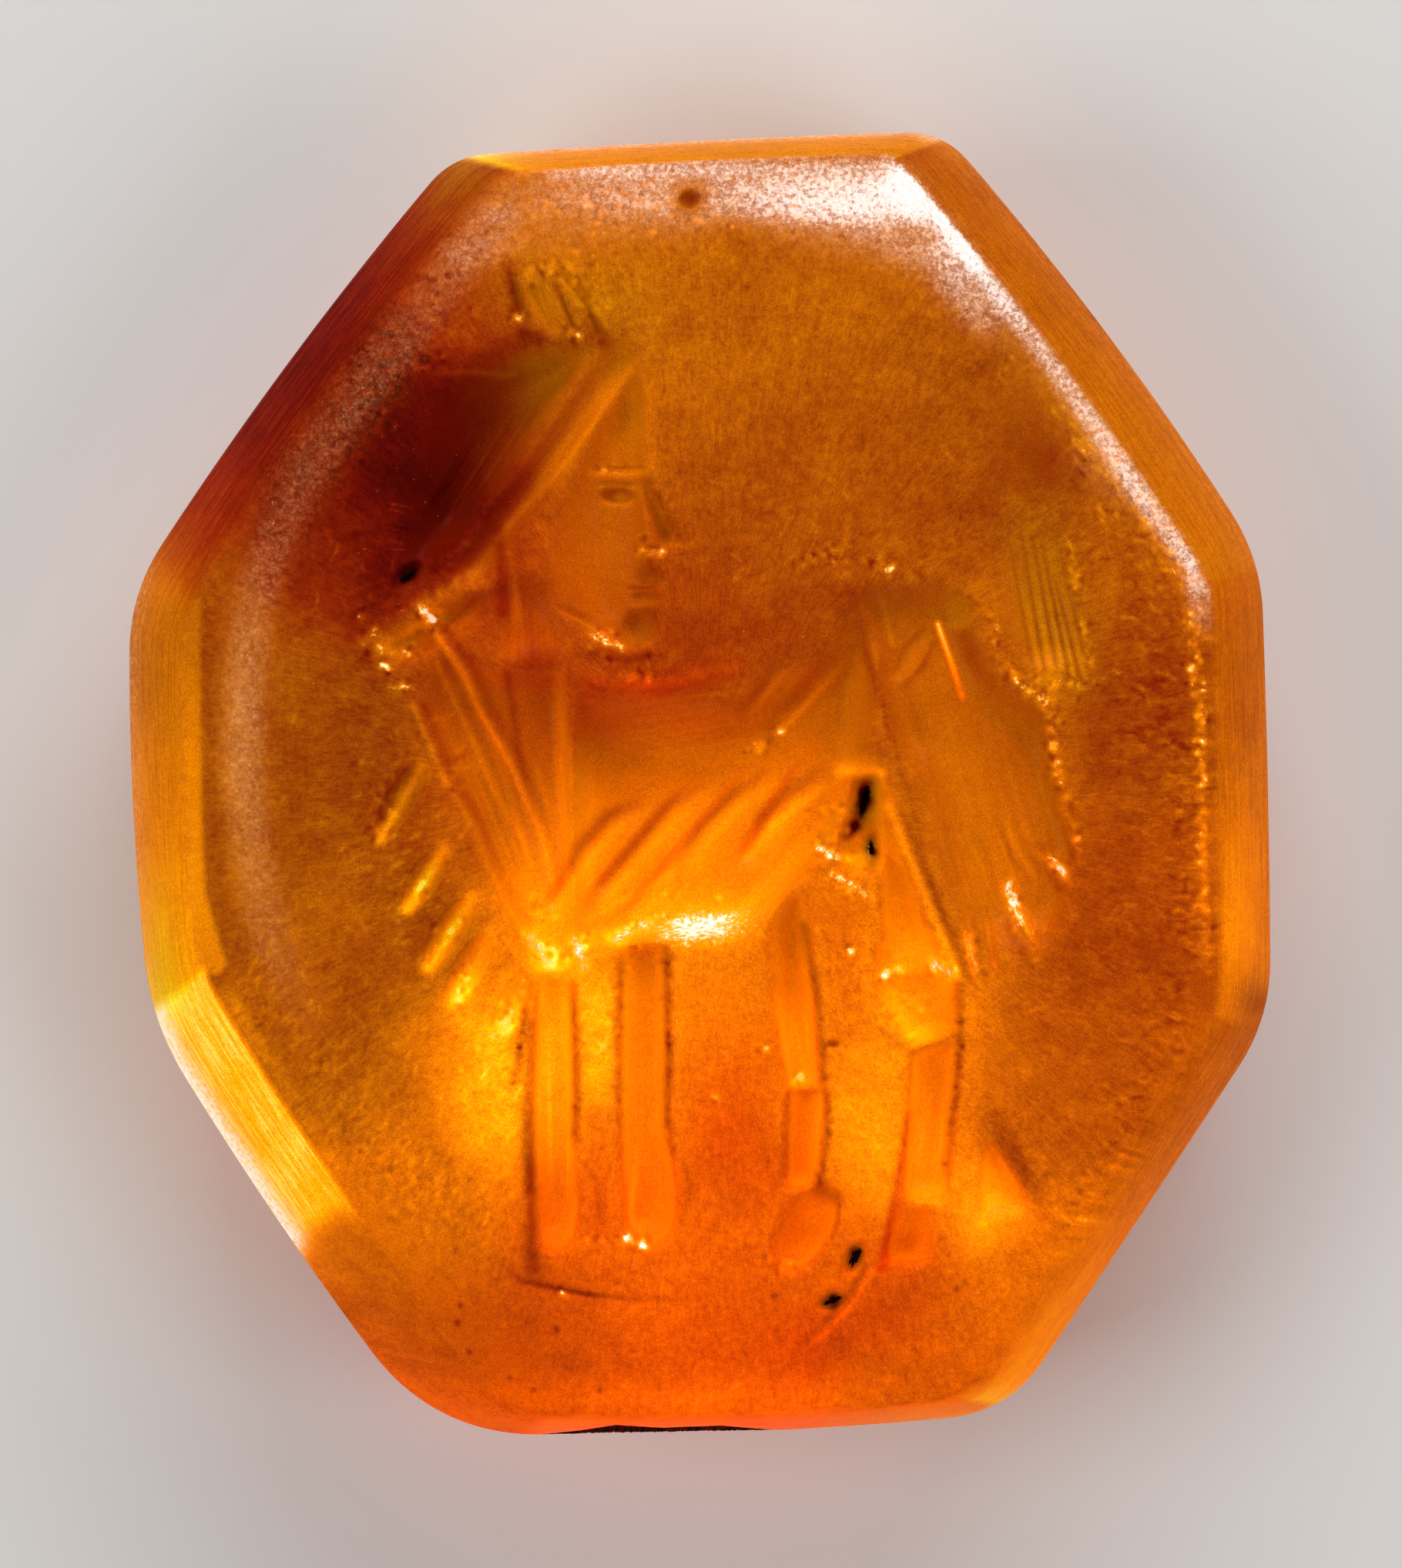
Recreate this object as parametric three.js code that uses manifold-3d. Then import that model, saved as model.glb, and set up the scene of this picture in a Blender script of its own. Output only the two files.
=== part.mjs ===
// An engraved ring stone: translucent orange carnelian, cut as an irregular octagon with
// a bevelled rim and a gently domed face. A standing four-legged beast with a wing and a
// long-haired human head is sunk into the face by wheels and drills. Dark matter is
// lodged in the deepest pits and in a chip on the lower edge.
//
// Millimetres. The stone lies on its flat back: +Z points out of the engraved face, +Y
// is the top of the figure and +X its right. The origin is on the back, under the middle
// of the stone.

import * as THREE from 'three';
import { mergeVertices } from 'three/addons/utils/BufferGeometryUtils.js';
import Module from 'manifold-3d';

const wasm = await Module();
wasm.setup();

// Driving dimensions of the stone
const STONE_WIDTH = 14.8;
const STONE_LENGTH = 16.9;
const STONE_THICKNESS = 4.6;
const FACE_RISE = 0.55;
const BEVEL_HEIGHT = 1.05;
const BEVEL_WIDTH = 1;
const GIRDLE_BAND = 0.6;
const SIDE_TAPER = 0.35;
const BACK_CHAMFER = 0.35;
const CORNER_ROUND = 1;

// Depths of the figure's basins below the face, and the width that their walls are shares of
const WALL_WIDTH = 0.5;
const HAIR_DEPTH = 0.95;
const NECK_DEPTH = 0.22;
const MASK_DEPTH = 0.4;
const FAN_DEPTH = 0.5;
const BODY_DEPTH = 0.8;
const WING_DEPTH = 0.4;
const COMB_DEPTH = 0.16;
const SHOULDER_DEPTH = 0.86;
const THIGH_DEPTH = 0.6;
const KNEE_DEPTH = 0.7;
const LEG_DEPTH = 0.5;
const WEDGE_DEPTH = 0.42;

// Sizes of the wheel's marks: each has a width and a depth below the face
const HAIR_SIDE_WIDTH = 0.62;
const HAIR_SIDE_DEPTH = 0.34;
const CURL_WIDTH = 0.55;
const CURL_DEPTH = 0.4;
const HOOF_WIDTH = 0.62;
const HOOF_DEPTH = 0.54;
const FAN_LINE_WIDTH = 0.2;
const FAN_LINE_DEPTH = 0.6;
const FEATHER_WIDTH = 0.4;
const FEATHER_DEPTH = 0.3;
const STRIPE_WIDTH = 0.48;
const STRIPE_DEPTH = 0.98;
const WING_TIP_WIDTH = 0.24;
const WING_TIP_DEPTH = 0.5;
const FINE_WIDTH = 0.16;
const FINE_DEPTH = 0.16;
const COMB_LINE_DEPTH = 0.22;
const COMB_LINES = 7;
const DISC_DIAMETER = 0.42;
const DISC_DEPTH = 0.4;

// The head: its height from chin to crown, its depth from nape to nose, and its cuts
const HEAD_HEIGHT = 4;
const HEAD_DEPTH = 3.5;
const CHEEK_WIDTH = 1.25;
const CHEEK_DEPTH = 0.54;
const FOREHEAD_WIDTH = 0.7;
const FOREHEAD_DEPTH = 0.5;
const FACE_CUT_WIDTH = 0.22;
const FACE_CUT_DEPTH = 0.5;
const EYE_DIAMETER = 0.3;
const CHIN_DIAMETER = 0.55;

// Pits that hold dark matter, and the matter in them
const PIT_DEPTH = 0.5;
const FILL_CROWN_DEPTH = 0.06;
const FILL_CLEARANCE = 0.02;
const SHOULDER_PIT_LENGTH = 0.62;
const SHOULDER_PIT_WIDTH = 0.26;
const SHOULDER_LOW_PIT_LENGTH = 0.46;
const SHOULDER_LOW_PIT_WIDTH = 0.18;
const HOOF_PIT_LENGTH = 0.36;
const HOOF_PIT_WIDTH = 0.26;
const HOOF_LOW_PIT_LENGTH = 0.38;
const HOOF_LOW_PIT_WIDTH = 0.18;
const NAPE_PIT_LENGTH = 0.34;
const NAPE_PIT_WIDTH = 0.2;
const CRUST_DEPTH = 0.15;
const CRUST_HEIGHT = 0.62;
const CRUST_LIP = 0.12;

// How far a cutter runs past the surface that it opens
const OVERRUN = 0.5;

// Fineness of the faceted surfaces
const CORNER_STEPS = 5;
const SIDE_STEPS = 3;
const BASIN_SIDE_STEPS = 3;
const LOBE_SIDES = 16;
const LOBE_STEPS = 4;
const CUT_SIDES = 10;
const CUT_STEPS = 3;
const PIT_SIDES = 10;

// Seen from the face, anticlockwise from the lower left corner. Each row holds a corner's
// place as shares of the half width and half length, its rounding as a share of
// CORNER_ROUND, and then for the side that starts there, its bevel as a share of
// BEVEL_WIDTH and its outward bow as a share of its own length.
const outlineShares = [
  [-0.468, -1.005, 1.3, 0.3, 0.018],
  [0.539, -0.974, 0.8, 0.7, 0.003],
  [0.999, -0.364, 0.75, 0.8, 0.005],
  [0.982, 0.346, 0.7, 0.8, 0.021],
  [0.424, 1.008, 0.5, 0.35, 0.006],
  [-0.434, 0.969, 0.45, 0.9, 0.018],
  [-0.999, 0.292, 0.75, 0.78, 0.018],
  [-0.961, -0.37, 0.8, 1, 0.016],
];
// Rows of the bevel: share of its width, share of its height, share of the corner rounding
const bevelRowShares = [
  [0.36, 0.52, 0.85],
  [1, 1, 0.5],
];
// The dome's rings as shares of the way from its middle to the rim
const domeRingShares = [0.88, 0.7, 0.5, 0.26];
// A basin's rings as shares of the way from its middle to its edge
const basinRingShares = [0.35, 0.65, 0.82, 0.92, 1];
const domePowerShare = 2.6;

// Basins of the figure. Each row holds a corner, as shares of the half width and length,
// and the width of the wall on the side that starts there as a share of WALL_WIDTH. The
// corners run anticlockwise.
const hairBasinShares = [
  [-0.491, 0.614, 2.2],
  [-0.584, 0.339, 2.6],
  [-0.535, 0.212, 1.2],
  [-0.427, 0.326, 1],
  [-0.35, 0.418, 1],
  [-0.147, 0.678, 1],
  [-0.35, 0.673, 1.2],
];
const neckBasinShares = [
  [-0.363, 0.326, 1.2],
  [-0.368, 0.163, 1.2],
  [-0.222, 0.163, 1.2],
  [-0.206, 0.257, 0.8],
  [-0.265, 0.326, 0.8],
];
const fanBasinShares = [
  [-0.514, 0.139, 1.2],
  [-0.303, -0.322, 0.8],
  [-0.203, -0.299, 0.44],
  [-0.222, 0.184, 1.2],
  [-0.363, 0.203, 1.2],
  [-0.446, 0.226, 1.2],
];
const bodyBasinShares = [
  [-0.225, 0.16, 0.4],
  [-0.222, -0.263, 0.52],
  [-0.068, -0.249, 0.52],
  [0.099, -0.23, 0.8],
  [0.253, -0.086, 0.8],
  [0.313, 0.044, 1],
  [0.326, 0.257, 0.8],
  [0.264, 0.3, 1.8],
  [0.164, 0.229, 2.2],
  [0.029, 0.172, 2.2],
];
const wingBasinShares = [
  [0.255, 0.306, 0.6],
  [0.294, 0.185, 0.48],
  [0.357, -0.003, 1.4],
  [0.462, -0.3, 1.8],
  [0.529, -0.289, 1.4],
  [0.626, -0.263, 0.6],
  [0.666, -0.105, 0.52],
  [0.631, 0.003, 0.52],
  [0.612, 0.109, 0.8],
  [0.537, 0.172, 1.2],
  [0.442, 0.326, 1],
];
const combBasinShares = [
  [0.477, 0.394, 1.2],
  [0.533, 0.165, 0.48],
  [0.688, 0.184, 1.2],
  [0.645, 0.394, 2.4],
];
const shoulderBasinShares = [
  [0.259, 0.023, 0.4],
  [0.24, -0.05, 0.4],
  [0.234, -0.133, 0.6],
  [0.323, -0.14, 0.4],
  [0.332, -0.05, 0.4],
  [0.329, 0.023, 0.4],
];
const hindThighBasinShares = [
  [0.315, -0.022, 0.4],
  [0.31, -0.218, 0.48],
  [0.296, -0.301, 0.28],
  [0.453, -0.308, 0.48],
  [0.399, -0.208, 0.4],
];
const kneeBasinShares = [
  [0.295, -0.306, 0.6],
  [0.326, -0.37, 0.6],
  [0.367, -0.412, 0.6],
  [0.445, -0.393, 0.52],
  [0.458, -0.322, 0.4],
  [0.429, -0.28, 0.28],
  [0.321, -0.289, 0.36],
];
const thirdThighBasinShares = [
  [0.169, -0.147, 0.48],
  [0.107, -0.206, 0.68],
  [0.113, -0.29, 0.44],
  [0.145, -0.467, 0.16],
  [0.213, -0.467, 0.36],
  [0.199, -0.29, 0.36],
  [0.192, -0.172, 0.48],
];
const shinBasinShares = [
  [
    [0.367, -0.403, 0.28],
    [0.348, -0.639, 0.4],
    [0.431, -0.639, 0.28],
    [0.456, -0.381, 0.28],
  ],
  [
    [0.34, -0.633, 0.2],
    [0.318, -0.736, 0.48],
    [0.413, -0.736, 0.8],
    [0.426, -0.632, 0.6],
  ],
  [
    [0.153, -0.462, 0.24],
    [0.148, -0.618, 0.32],
    [0.205, -0.618, 0.24],
    [0.222, -0.46, 0.16],
  ],
  [
    [-0.284, -0.288, 0.24],
    [-0.295, -0.535, 0.32],
    [-0.29, -0.703, 0.44],
    [-0.211, -0.703, 0.28],
    [-0.217, -0.285, 0.2],
  ],
  [
    [-0.138, -0.243, 0.24],
    [-0.141, -0.547, 0.28],
    [-0.125, -0.694, 0.44],
    [-0.055, -0.694, 0.4],
    [-0.036, -0.618, 0.28],
    [-0.055, -0.535, 0.24],
    [-0.055, -0.24, 0.2],
  ],
];
const wedgeBasinShares = [
  [0.494, -0.519, 0.4],
  [0.469, -0.689, 1.2],
  [0.594, -0.653, 0.28],
];
// How steeply the wedge's floor falls away to the right and to the top
const wedgeSlopeShares = [0.3, 0.1];

// Marks of the figure: from one place to another, as shares of the half width and length
const hairSideShares = [-0.111, 0.683, -0.422, 0.293];
const curlShares = [-0.363, 0.293, -0.552, 0.189];
const hoofCutShares = [
  [-0.252, -0.559, -0.252, -0.713],
  [-0.079, -0.566, -0.084, -0.703],
  [0.229, -0.613, 0.142, -0.741],
];
const fanLineShares = [
  [-0.487, 0.118, -0.349, -0.204],
  [-0.452, 0.224, -0.336, 0.009],
  [-0.363, 0.068, -0.265, -0.169],
  [-0.295, 0.151, -0.233, -0.133],
];
const featherCutShares = [
  [-0.471, 0.03, -0.554, -0.088],
  [-0.441, -0.102, -0.514, -0.195],
  [-0.387, -0.176, -0.471, -0.28],
  [-0.363, -0.223, -0.433, -0.325],
  [-0.295, -0.282, -0.349, -0.377],
];
const stripeCutShares = [
  [-0.098, -0.015, -0.265, -0.209],
  [0.016, 0.011, -0.182, -0.187],
  [0.137, 0.047, -0.13, -0.225],
  [0.205, 0.037, 0.078, -0.133],
];
const wingTipShares = [
  [0.456, -0.192, 0.477, -0.301],
  [0.496, -0.18, 0.515, -0.289],
  [0.523, -0.133, 0.591, -0.254],
  [0.583, -0.086, 0.653, -0.157],
  [0.631, -0.027, 0.666, -0.109],
  [0.396, 0.236, 0.34, 0.158],
];
const fineCutShares = [
  [-0.334, 0.781, -0.293, 0.67],
  [-0.311, 0.787, -0.243, 0.668],
  [-0.273, 0.791, -0.232, 0.7],
  [-0.21, 0.75, -0.193, 0.668],
  [-0.339, -0.74, 0.018, -0.789],
];
const discPlaceShares = [0.448, 0.262];

// The head's lower back corner on the face, and the places of a plain profile within the
// head's depth and height: the eye halfway up, the nose's base a quarter, the mouth between
// it and the chin.
const headPlaceShares = [-0.515, 0.2];
const maskBasinShares = [
  [0.56, 0.66, 1.4],
  [0.52, 0.2, 1.2],
  [0.64, 0.02, 0.8],
  [0.84, 0.02, 0.6],
  [0.9, 0.2, 0.44],
  [0.9, 0.5, 0.44],
  [0.89, 0.84, 0.6],
  [0.8, 0.98, 1.2],
];
const cheekCutShares = [0.68, 0.56, 0.7, 0.06];
const foreheadCutShares = [0.79, 0.96, 0.82, 0.58];
const faceCutShares = [
  [0.86, 0.57, 0.96, 0.33],
  [0.84, 0.32, 0.97, 0.32],
  [0.8, 0.235, 0.94, 0.235],
  [0.8, 0.175, 0.92, 0.175],
];
const eyePlaceShares = [0.78, 0.5];
const chinPlaceShares = [0.845, 0.085];

// Pits: the place of each on the face, and the turn of its long axis from +Y in degrees
const shoulderPitShares = [0.288, -0.027];
const shoulderLowPitShares = [0.3, -0.104];
const hoofPitShares = [0.27, -0.722];
const hoofLowPitShares = [0.23, -0.788];
const napePitShares = [-0.508, 0.316];
const SHOULDER_PIT_TURN = -12;
const SHOULDER_LOW_PIT_TURN = 4;
const HOOF_PIT_TURN = -30;
const HOOF_LOW_PIT_TURN = -70;
const NAPE_PIT_TURN = -50;

// The chip on the lower edge: where it starts and ends along that side, and its outline
// as shares of its length and depth, which starts with the two ends on the edge
const chipFromShare = 0.18;
const chipToShare = 0.6;
const chipOutlineShares = [
  [0, 0],
  [1, 0],
  [0.76, 0.72],
  [0.52, 0.6],
  [0.33, 1],
  [0.18, 0.45],
];

const HALF_WIDTH = STONE_WIDTH / 2;
const HALF_LENGTH = STONE_LENGTH / 2;
const RIM_HEIGHT = STONE_THICKNESS - FACE_RISE;
const GIRDLE_TOP = RIM_HEIGHT - BEVEL_HEIGHT;
const GIRDLE_LOW = GIRDLE_TOP - GIRDLE_BAND;

// The stone's rings

// Corners of the outline after each side has moved in by its own inset.
function insetCorners(insets) {
  const corners = outlineShares.map(([u, v]) => new THREE.Vector2(u * HALF_WIDTH, v * HALF_LENGTH));
  const count = corners.length;
  const lines = corners.map((start, side) => {
    const along = corners[(side + 1) % count].clone().sub(start).normalize();
    const inward = new THREE.Vector2(-along.y, along.x);
    return { start: start.clone().addScaledVector(inward, insets[side]), along };
  });
  return lines.map((line, side) => {
    const before = lines[(side + count - 1) % count];
    const between = line.start.clone().sub(before.start);
    const reach = between.cross(line.along) / before.along.cross(line.along);
    return before.start.clone().addScaledVector(before.along, reach);
  });
}

// A point on a side, which bows outwards by a share of its length.
function sidePoint(corners, side, share) {
  const start = corners[side];
  const end = corners[(side + 1) % corners.length];
  const along = end.clone().sub(start);
  const outward = new THREE.Vector2(along.y, -along.x);
  const bow = outlineShares[side][4] * 4 * share * (1 - share);
  return start.clone().addScaledVector(along, share).addScaledVector(outward, bow);
}

// A closed ring of the outline: straight inset, share of the bevel's width, and share of
// the corners' rounding. Every ring has the same number of points.
function plainRing(inset, bevelShare, roundShare) {
  const insets = outlineShares.map((row) => inset + row[3] * BEVEL_WIDTH * bevelShare);
  const corners = insetCorners(insets);
  const count = corners.length;
  const reaches = outlineShares.map((row) => row[2] * CORNER_ROUND * roundShare);
  const lengths = corners.map((corner, side) => corner.distanceTo(corners[(side + 1) % count]));
  const points = [];
  corners.forEach((corner, side) => {
    const before = (side + count - 1) % count;
    const startShare = reaches[side] / lengths[side];
    const endShare = 1 - reaches[(side + 1) % count] / lengths[side];
    const arcStart = sidePoint(corners, before, 1 - reaches[side] / lengths[before]);
    const arcEnd = sidePoint(corners, side, startShare);
    const arc = new THREE.QuadraticBezierCurve(arcStart, corner, arcEnd);
    points.push(...arc.getPoints(CORNER_STEPS));
    for (let step = 1; step < SIDE_STEPS; step++) {
      const share = THREE.MathUtils.lerp(startShare, endShare, step / SIDE_STEPS);
      points.push(sidePoint(corners, side, share));
    }
  });
  return points;
}

// The outermost ring fits the stone's width and length exactly, centred on the origin, and
// every other ring takes the same small shift and stretch.
const outerBox = new THREE.Box2().setFromPoints(plainRing(0, 0, 1));
const outerMiddle = outerBox.getCenter(new THREE.Vector2());
const outerSize = outerBox.getSize(new THREE.Vector2());

function fitted(point) {
  const x = ((point.x - outerMiddle.x) * STONE_WIDTH) / outerSize.x;
  const y = ((point.y - outerMiddle.y) * STONE_LENGTH) / outerSize.y;
  return new THREE.Vector2(x, y);
}

function ring(inset, bevelShare, roundShare) {
  return plainRing(inset, bevelShare, roundShare).map(fitted);
}

function raised(points, z) {
  return points.map((point) => new THREE.Vector3(point.x, point.y, z));
}

const lastBevelRow = bevelRowShares[bevelRowShares.length - 1];
const rimRing = ring(0, lastBevelRow[0], lastBevelRow[2]);

function domeHeight(share) {
  return RIM_HEIGHT + FACE_RISE * (1 - Math.pow(share, domePowerShare));
}

// How far a place on the face is from the middle, as a share of the way to the rim.
function rimShare(x, y) {
  const place = new THREE.Vector2(x, y);
  for (let index = 0; index < rimRing.length; index++) {
    const start = rimRing[index];
    const end = rimRing[(index + 1) % rimRing.length];
    const edge = end.clone().sub(start);
    if (start.cross(place) >= 0 && place.cross(end) >= 0) {
      return place.cross(edge) / start.cross(edge);
    }
  }
  return 0;
}

function pointOnFace({ x, y }) {
  return new THREE.Vector3(x, y, domeHeight(rimShare(x, y)));
}

// Places on the face from shares of its half width and length, or of the head's size.
function onFace([u, v]) {
  return new THREE.Vector2(u * HALF_WIDTH, v * HALF_LENGTH);
}

function onHead([forward, up]) {
  return onFace(headPlaceShares).add(new THREE.Vector2(forward * HEAD_DEPTH, up * HEAD_HEIGHT));
}

// Rings of points, joined in turn and closed by a fan to a point at each end.
function loftedSolid(rings, firstPoint, lastPoint) {
  const count = rings[0].length;
  const points = [...rings.flat(), firstPoint, lastPoint];
  const first = points.length - 2;
  const last = points.length - 1;
  const topStart = (rings.length - 1) * count;
  const faces = [];
  for (let index = 0; index < count; index++) {
    const next = (index + 1) % count;
    faces.push(first, next, index);
    faces.push(last, topStart + index, topStart + next);
    for (let row = 0; row + 1 < rings.length; row++) {
      const low = row * count;
      const high = low + count;
      faces.push(low + index, low + next, high + next);
      faces.push(low + index, high + next, high + index);
    }
  }
  const geometry = new THREE.BufferGeometry().setFromPoints(points);
  geometry.setIndex(faces);
  return geometry;
}

function stoneBlank() {
  const rings = [
    raised(ring(SIDE_TAPER + BACK_CHAMFER, 0, 1), 0),
    raised(ring(SIDE_TAPER, 0, 1), BACK_CHAMFER),
    raised(ring(0, 0, 1), GIRDLE_LOW),
    raised(ring(0, 0, 1), GIRDLE_TOP),
  ];
  bevelRowShares.forEach(([widthShare, heightShare, roundShare]) => {
    const points = ring(0, widthShare, roundShare);
    rings.push(raised(points, GIRDLE_TOP + BEVEL_HEIGHT * heightShare));
  });
  domeRingShares.forEach((share) => {
    const points = rimRing.map((point) => point.clone().multiplyScalar(share));
    rings.push(raised(points, domeHeight(share)));
  });
  const backMiddle = new THREE.Vector3(0, 0, 0);
  const faceMiddle = new THREE.Vector3(0, 0, STONE_THICKNESS);
  return loftedSolid(rings, backMiddle, faceMiddle);
}

// Solids and meshes

function solidOf(geometry) {
  const bare = geometry.clone();
  bare.deleteAttribute('normal');
  bare.deleteAttribute('uv');
  const merged = mergeVertices(bare);
  const index = merged.getIndex().array;
  const triangles = [];
  for (let corner = 0; corner < index.length; corner += 3) {
    const [a, b, c] = index.slice(corner, corner + 3);
    if (a !== b && b !== c && c !== a) {
      triangles.push(a, b, c);
    }
  }
  return new wasm.Manifold(
    new wasm.Mesh({
      numProp: 3,
      vertProperties: new Float32Array(merged.getAttribute('position').array),
      triVerts: new Uint32Array(triangles),
    }),
  );
}

function geometryOf(solid) {
  const mesh = solid.getMesh();
  const geometry = new THREE.BufferGeometry();
  geometry.setAttribute('position', new THREE.BufferAttribute(mesh.vertProperties, 3));
  geometry.setIndex(new THREE.BufferAttribute(mesh.triVerts, 1));
  geometry.computeVertexNormals();
  return geometry;
}

// Basins: broad hollows with straight sides. Each side's wall slopes in over its own width,
// to a floor that follows the face or falls away with a slope.

function basin(rows, depth, placed = onFace, slopeShares = [0, 0]) {
  const corners = rows.map(placed);
  const walls = rows.map(([, , wallShare]) => wallShare * WALL_WIDTH);
  const sum = corners.reduce((total, corner) => total.add(corner), new THREE.Vector2());
  const middle = sum.divideScalar(corners.length);
  return { corners, walls, middle, depth, slope: new THREE.Vector2(...slopeShares) };
}

const basins = [
  basin(hairBasinShares, HAIR_DEPTH),
  basin(neckBasinShares, NECK_DEPTH),
  basin(maskBasinShares, MASK_DEPTH, onHead),
  basin(fanBasinShares, FAN_DEPTH),
  basin(bodyBasinShares, BODY_DEPTH),
  basin(wingBasinShares, WING_DEPTH),
  basin(combBasinShares, COMB_DEPTH),
  basin(shoulderBasinShares, SHOULDER_DEPTH),
  basin(hindThighBasinShares, THIGH_DEPTH),
  basin(thirdThighBasinShares, THIGH_DEPTH),
  basin(kneeBasinShares, KNEE_DEPTH),
  ...shinBasinShares.map((rows) => basin(rows, LEG_DEPTH)),
  basin(wedgeBasinShares, WEDGE_DEPTH, onFace, wedgeSlopeShares),
];

function gapToSide(start, end, place) {
  const along = end.clone().sub(start);
  const share = place.clone().sub(start).dot(along) / along.lengthSq();
  const nearest = start.clone().addScaledVector(along, THREE.MathUtils.clamp(share, 0, 1));
  return nearest.distanceTo(place);
}

// How deep a basin is at a place within its corners.
function basinDepthAt({ corners, walls, middle, depth, slope }, place) {
  const floorDepth = depth + place.clone().sub(middle).dot(slope);
  return corners.reduce((deep, corner, side) => {
    const gap = gapToSide(corner, corners[(side + 1) % corners.length], place);
    return deep * THREE.MathUtils.smoothstep(gap, 0, walls[side]);
  }, floorDepth);
}

function isWithin(corners, place) {
  const crossed = corners.filter((corner, side) => {
    const next = corners[(side + 1) % corners.length];
    const reach = ((next.x - corner.x) * (place.y - corner.y)) / (next.y - corner.y);
    return corner.y > place.y !== next.y > place.y && place.x < corner.x + reach;
  });
  return crossed.length % 2 === 1;
}

// Marks: what a wheel leaves between two places on the face. The mark is boat-shaped, half
// an ellipsoid, and deepest in its middle.

function endsOf([fromX, fromY, toX, toY], placed = onFace) {
  return [pointOnFace(placed([fromX, fromY])), pointOnFace(placed([toX, toY]))];
}

function mark([from, to], width, depth, sides = CUT_SIDES, steps = CUT_STEPS) {
  return { from, to, width, depth, sides, steps };
}

function marks(table, width, depth, placed = onFace) {
  return table.map((shares) => mark(endsOf(shares, placed), width, depth));
}

const boatMarks = [
  mark(endsOf(cheekCutShares, onHead), CHEEK_WIDTH, CHEEK_DEPTH, LOBE_SIDES, LOBE_STEPS),
  ...marks([foreheadCutShares], FOREHEAD_WIDTH, FOREHEAD_DEPTH, onHead),
  ...marks(faceCutShares, FACE_CUT_WIDTH, FACE_CUT_DEPTH, onHead),
  ...marks([hairSideShares], HAIR_SIDE_WIDTH, HAIR_SIDE_DEPTH),
  ...marks([curlShares], CURL_WIDTH, CURL_DEPTH),
  ...marks(hoofCutShares, HOOF_WIDTH, HOOF_DEPTH),
  ...marks(fanLineShares, FAN_LINE_WIDTH, FAN_LINE_DEPTH),
  ...marks(featherCutShares, FEATHER_WIDTH, FEATHER_DEPTH),
  ...marks(stripeCutShares, STRIPE_WIDTH, STRIPE_DEPTH),
  ...marks(wingTipShares, WING_TIP_WIDTH, WING_TIP_DEPTH),
  ...marks(fineCutShares, FINE_WIDTH, FINE_DEPTH),
];

// How deep a mark is at a place on the face, or 0 beside it.
function markDepthAt({ from, to, width, depth }, place) {
  const along = to.clone().sub(from).setZ(0);
  const length = along.length();
  along.normalize();
  const offset = place.clone().sub(from).setZ(0);
  const lengthwise = offset.dot(along) / (length / 2) - 1;
  const sideways = offset.cross(along).length() / (width / 2);
  return depth * Math.sqrt(Math.max(0, 1 - lengthwise ** 2 - sideways ** 2));
}

// The point on the cut surface at a place on the face.
function floorPoint(shares) {
  const spot = onFace(shares);
  const place = pointOnFace(spot);
  const cutBasins = basins.filter(({ corners }) => isWithin(corners, spot));
  const depths = [
    ...boatMarks.map((boat) => markDepthAt(boat, place)),
    ...cutBasins.map((form) => basinDepthAt(form, spot)),
  ];
  return place.setZ(place.z - Math.max(...depths));
}

// Cutters. Each has its hollow below the face and upright walls above it, so that whatever
// lies over its floor is taken away.

function basinCut(form) {
  const { corners, middle } = form;
  const edge = corners.flatMap((corner, side) => {
    const next = corners[(side + 1) % corners.length];
    const steps = Array.from({ length: BASIN_SIDE_STEPS }, (_, step) => step / BASIN_SIDE_STEPS);
    return steps.map((share) => corner.clone().lerp(next, share));
  });
  const sunk = (spot) => {
    const place = pointOnFace(spot);
    return place.setZ(place.z - basinDepthAt(form, spot));
  };
  const rings = basinRingShares.map((share) => edge.map((spot) => sunk(middle.clone().lerp(spot, share))));
  rings.push(raised(edge, STONE_THICKNESS + OVERRUN));
  const top = new THREE.Vector3(middle.x, middle.y, STONE_THICKNESS + OVERRUN);
  return loftedSolid(rings, sunk(middle), top);
}

// A bowl from a section's rings, which the section gives for any share of its full size.
function bowl(sectionRing, depth, steps) {
  const rings = [];
  for (let step = 1; step <= steps; step++) {
    const angle = ((Math.PI / 2) * step) / steps;
    rings.push(raised(sectionRing(Math.sin(angle)), -depth * Math.cos(angle)));
  }
  rings.push(raised(sectionRing(1), OVERRUN));
  return loftedSolid(rings, new THREE.Vector3(0, 0, -depth), new THREE.Vector3(0, 0, OVERRUN));
}

// An oval section's ring.
function sectionRing(length, width, sides, share) {
  const points = [];
  for (let side = 0; side < sides; side++) {
    const angle = (2 * Math.PI * (side + 0.5)) / sides;
    const x = (Math.cos(angle) * share * width) / 2;
    const y = (Math.sin(angle) * share * length) / 2;
    points.push(new THREE.Vector2(x, y));
  }
  return points;
}

// Lays a cutter along the face between two points, with its walls kept upright.
function laidAlong(geometry, from, to) {
  const along = to.clone().sub(from).normalize();
  const up = new THREE.Vector3(0, 0, 1);
  const across = along.clone().cross(up).normalize();
  const place = new THREE.Matrix4().makeBasis(across, along, up);
  place.setPosition(from.clone().lerp(to, 0.5));
  return geometry.applyMatrix4(place);
}

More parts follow.
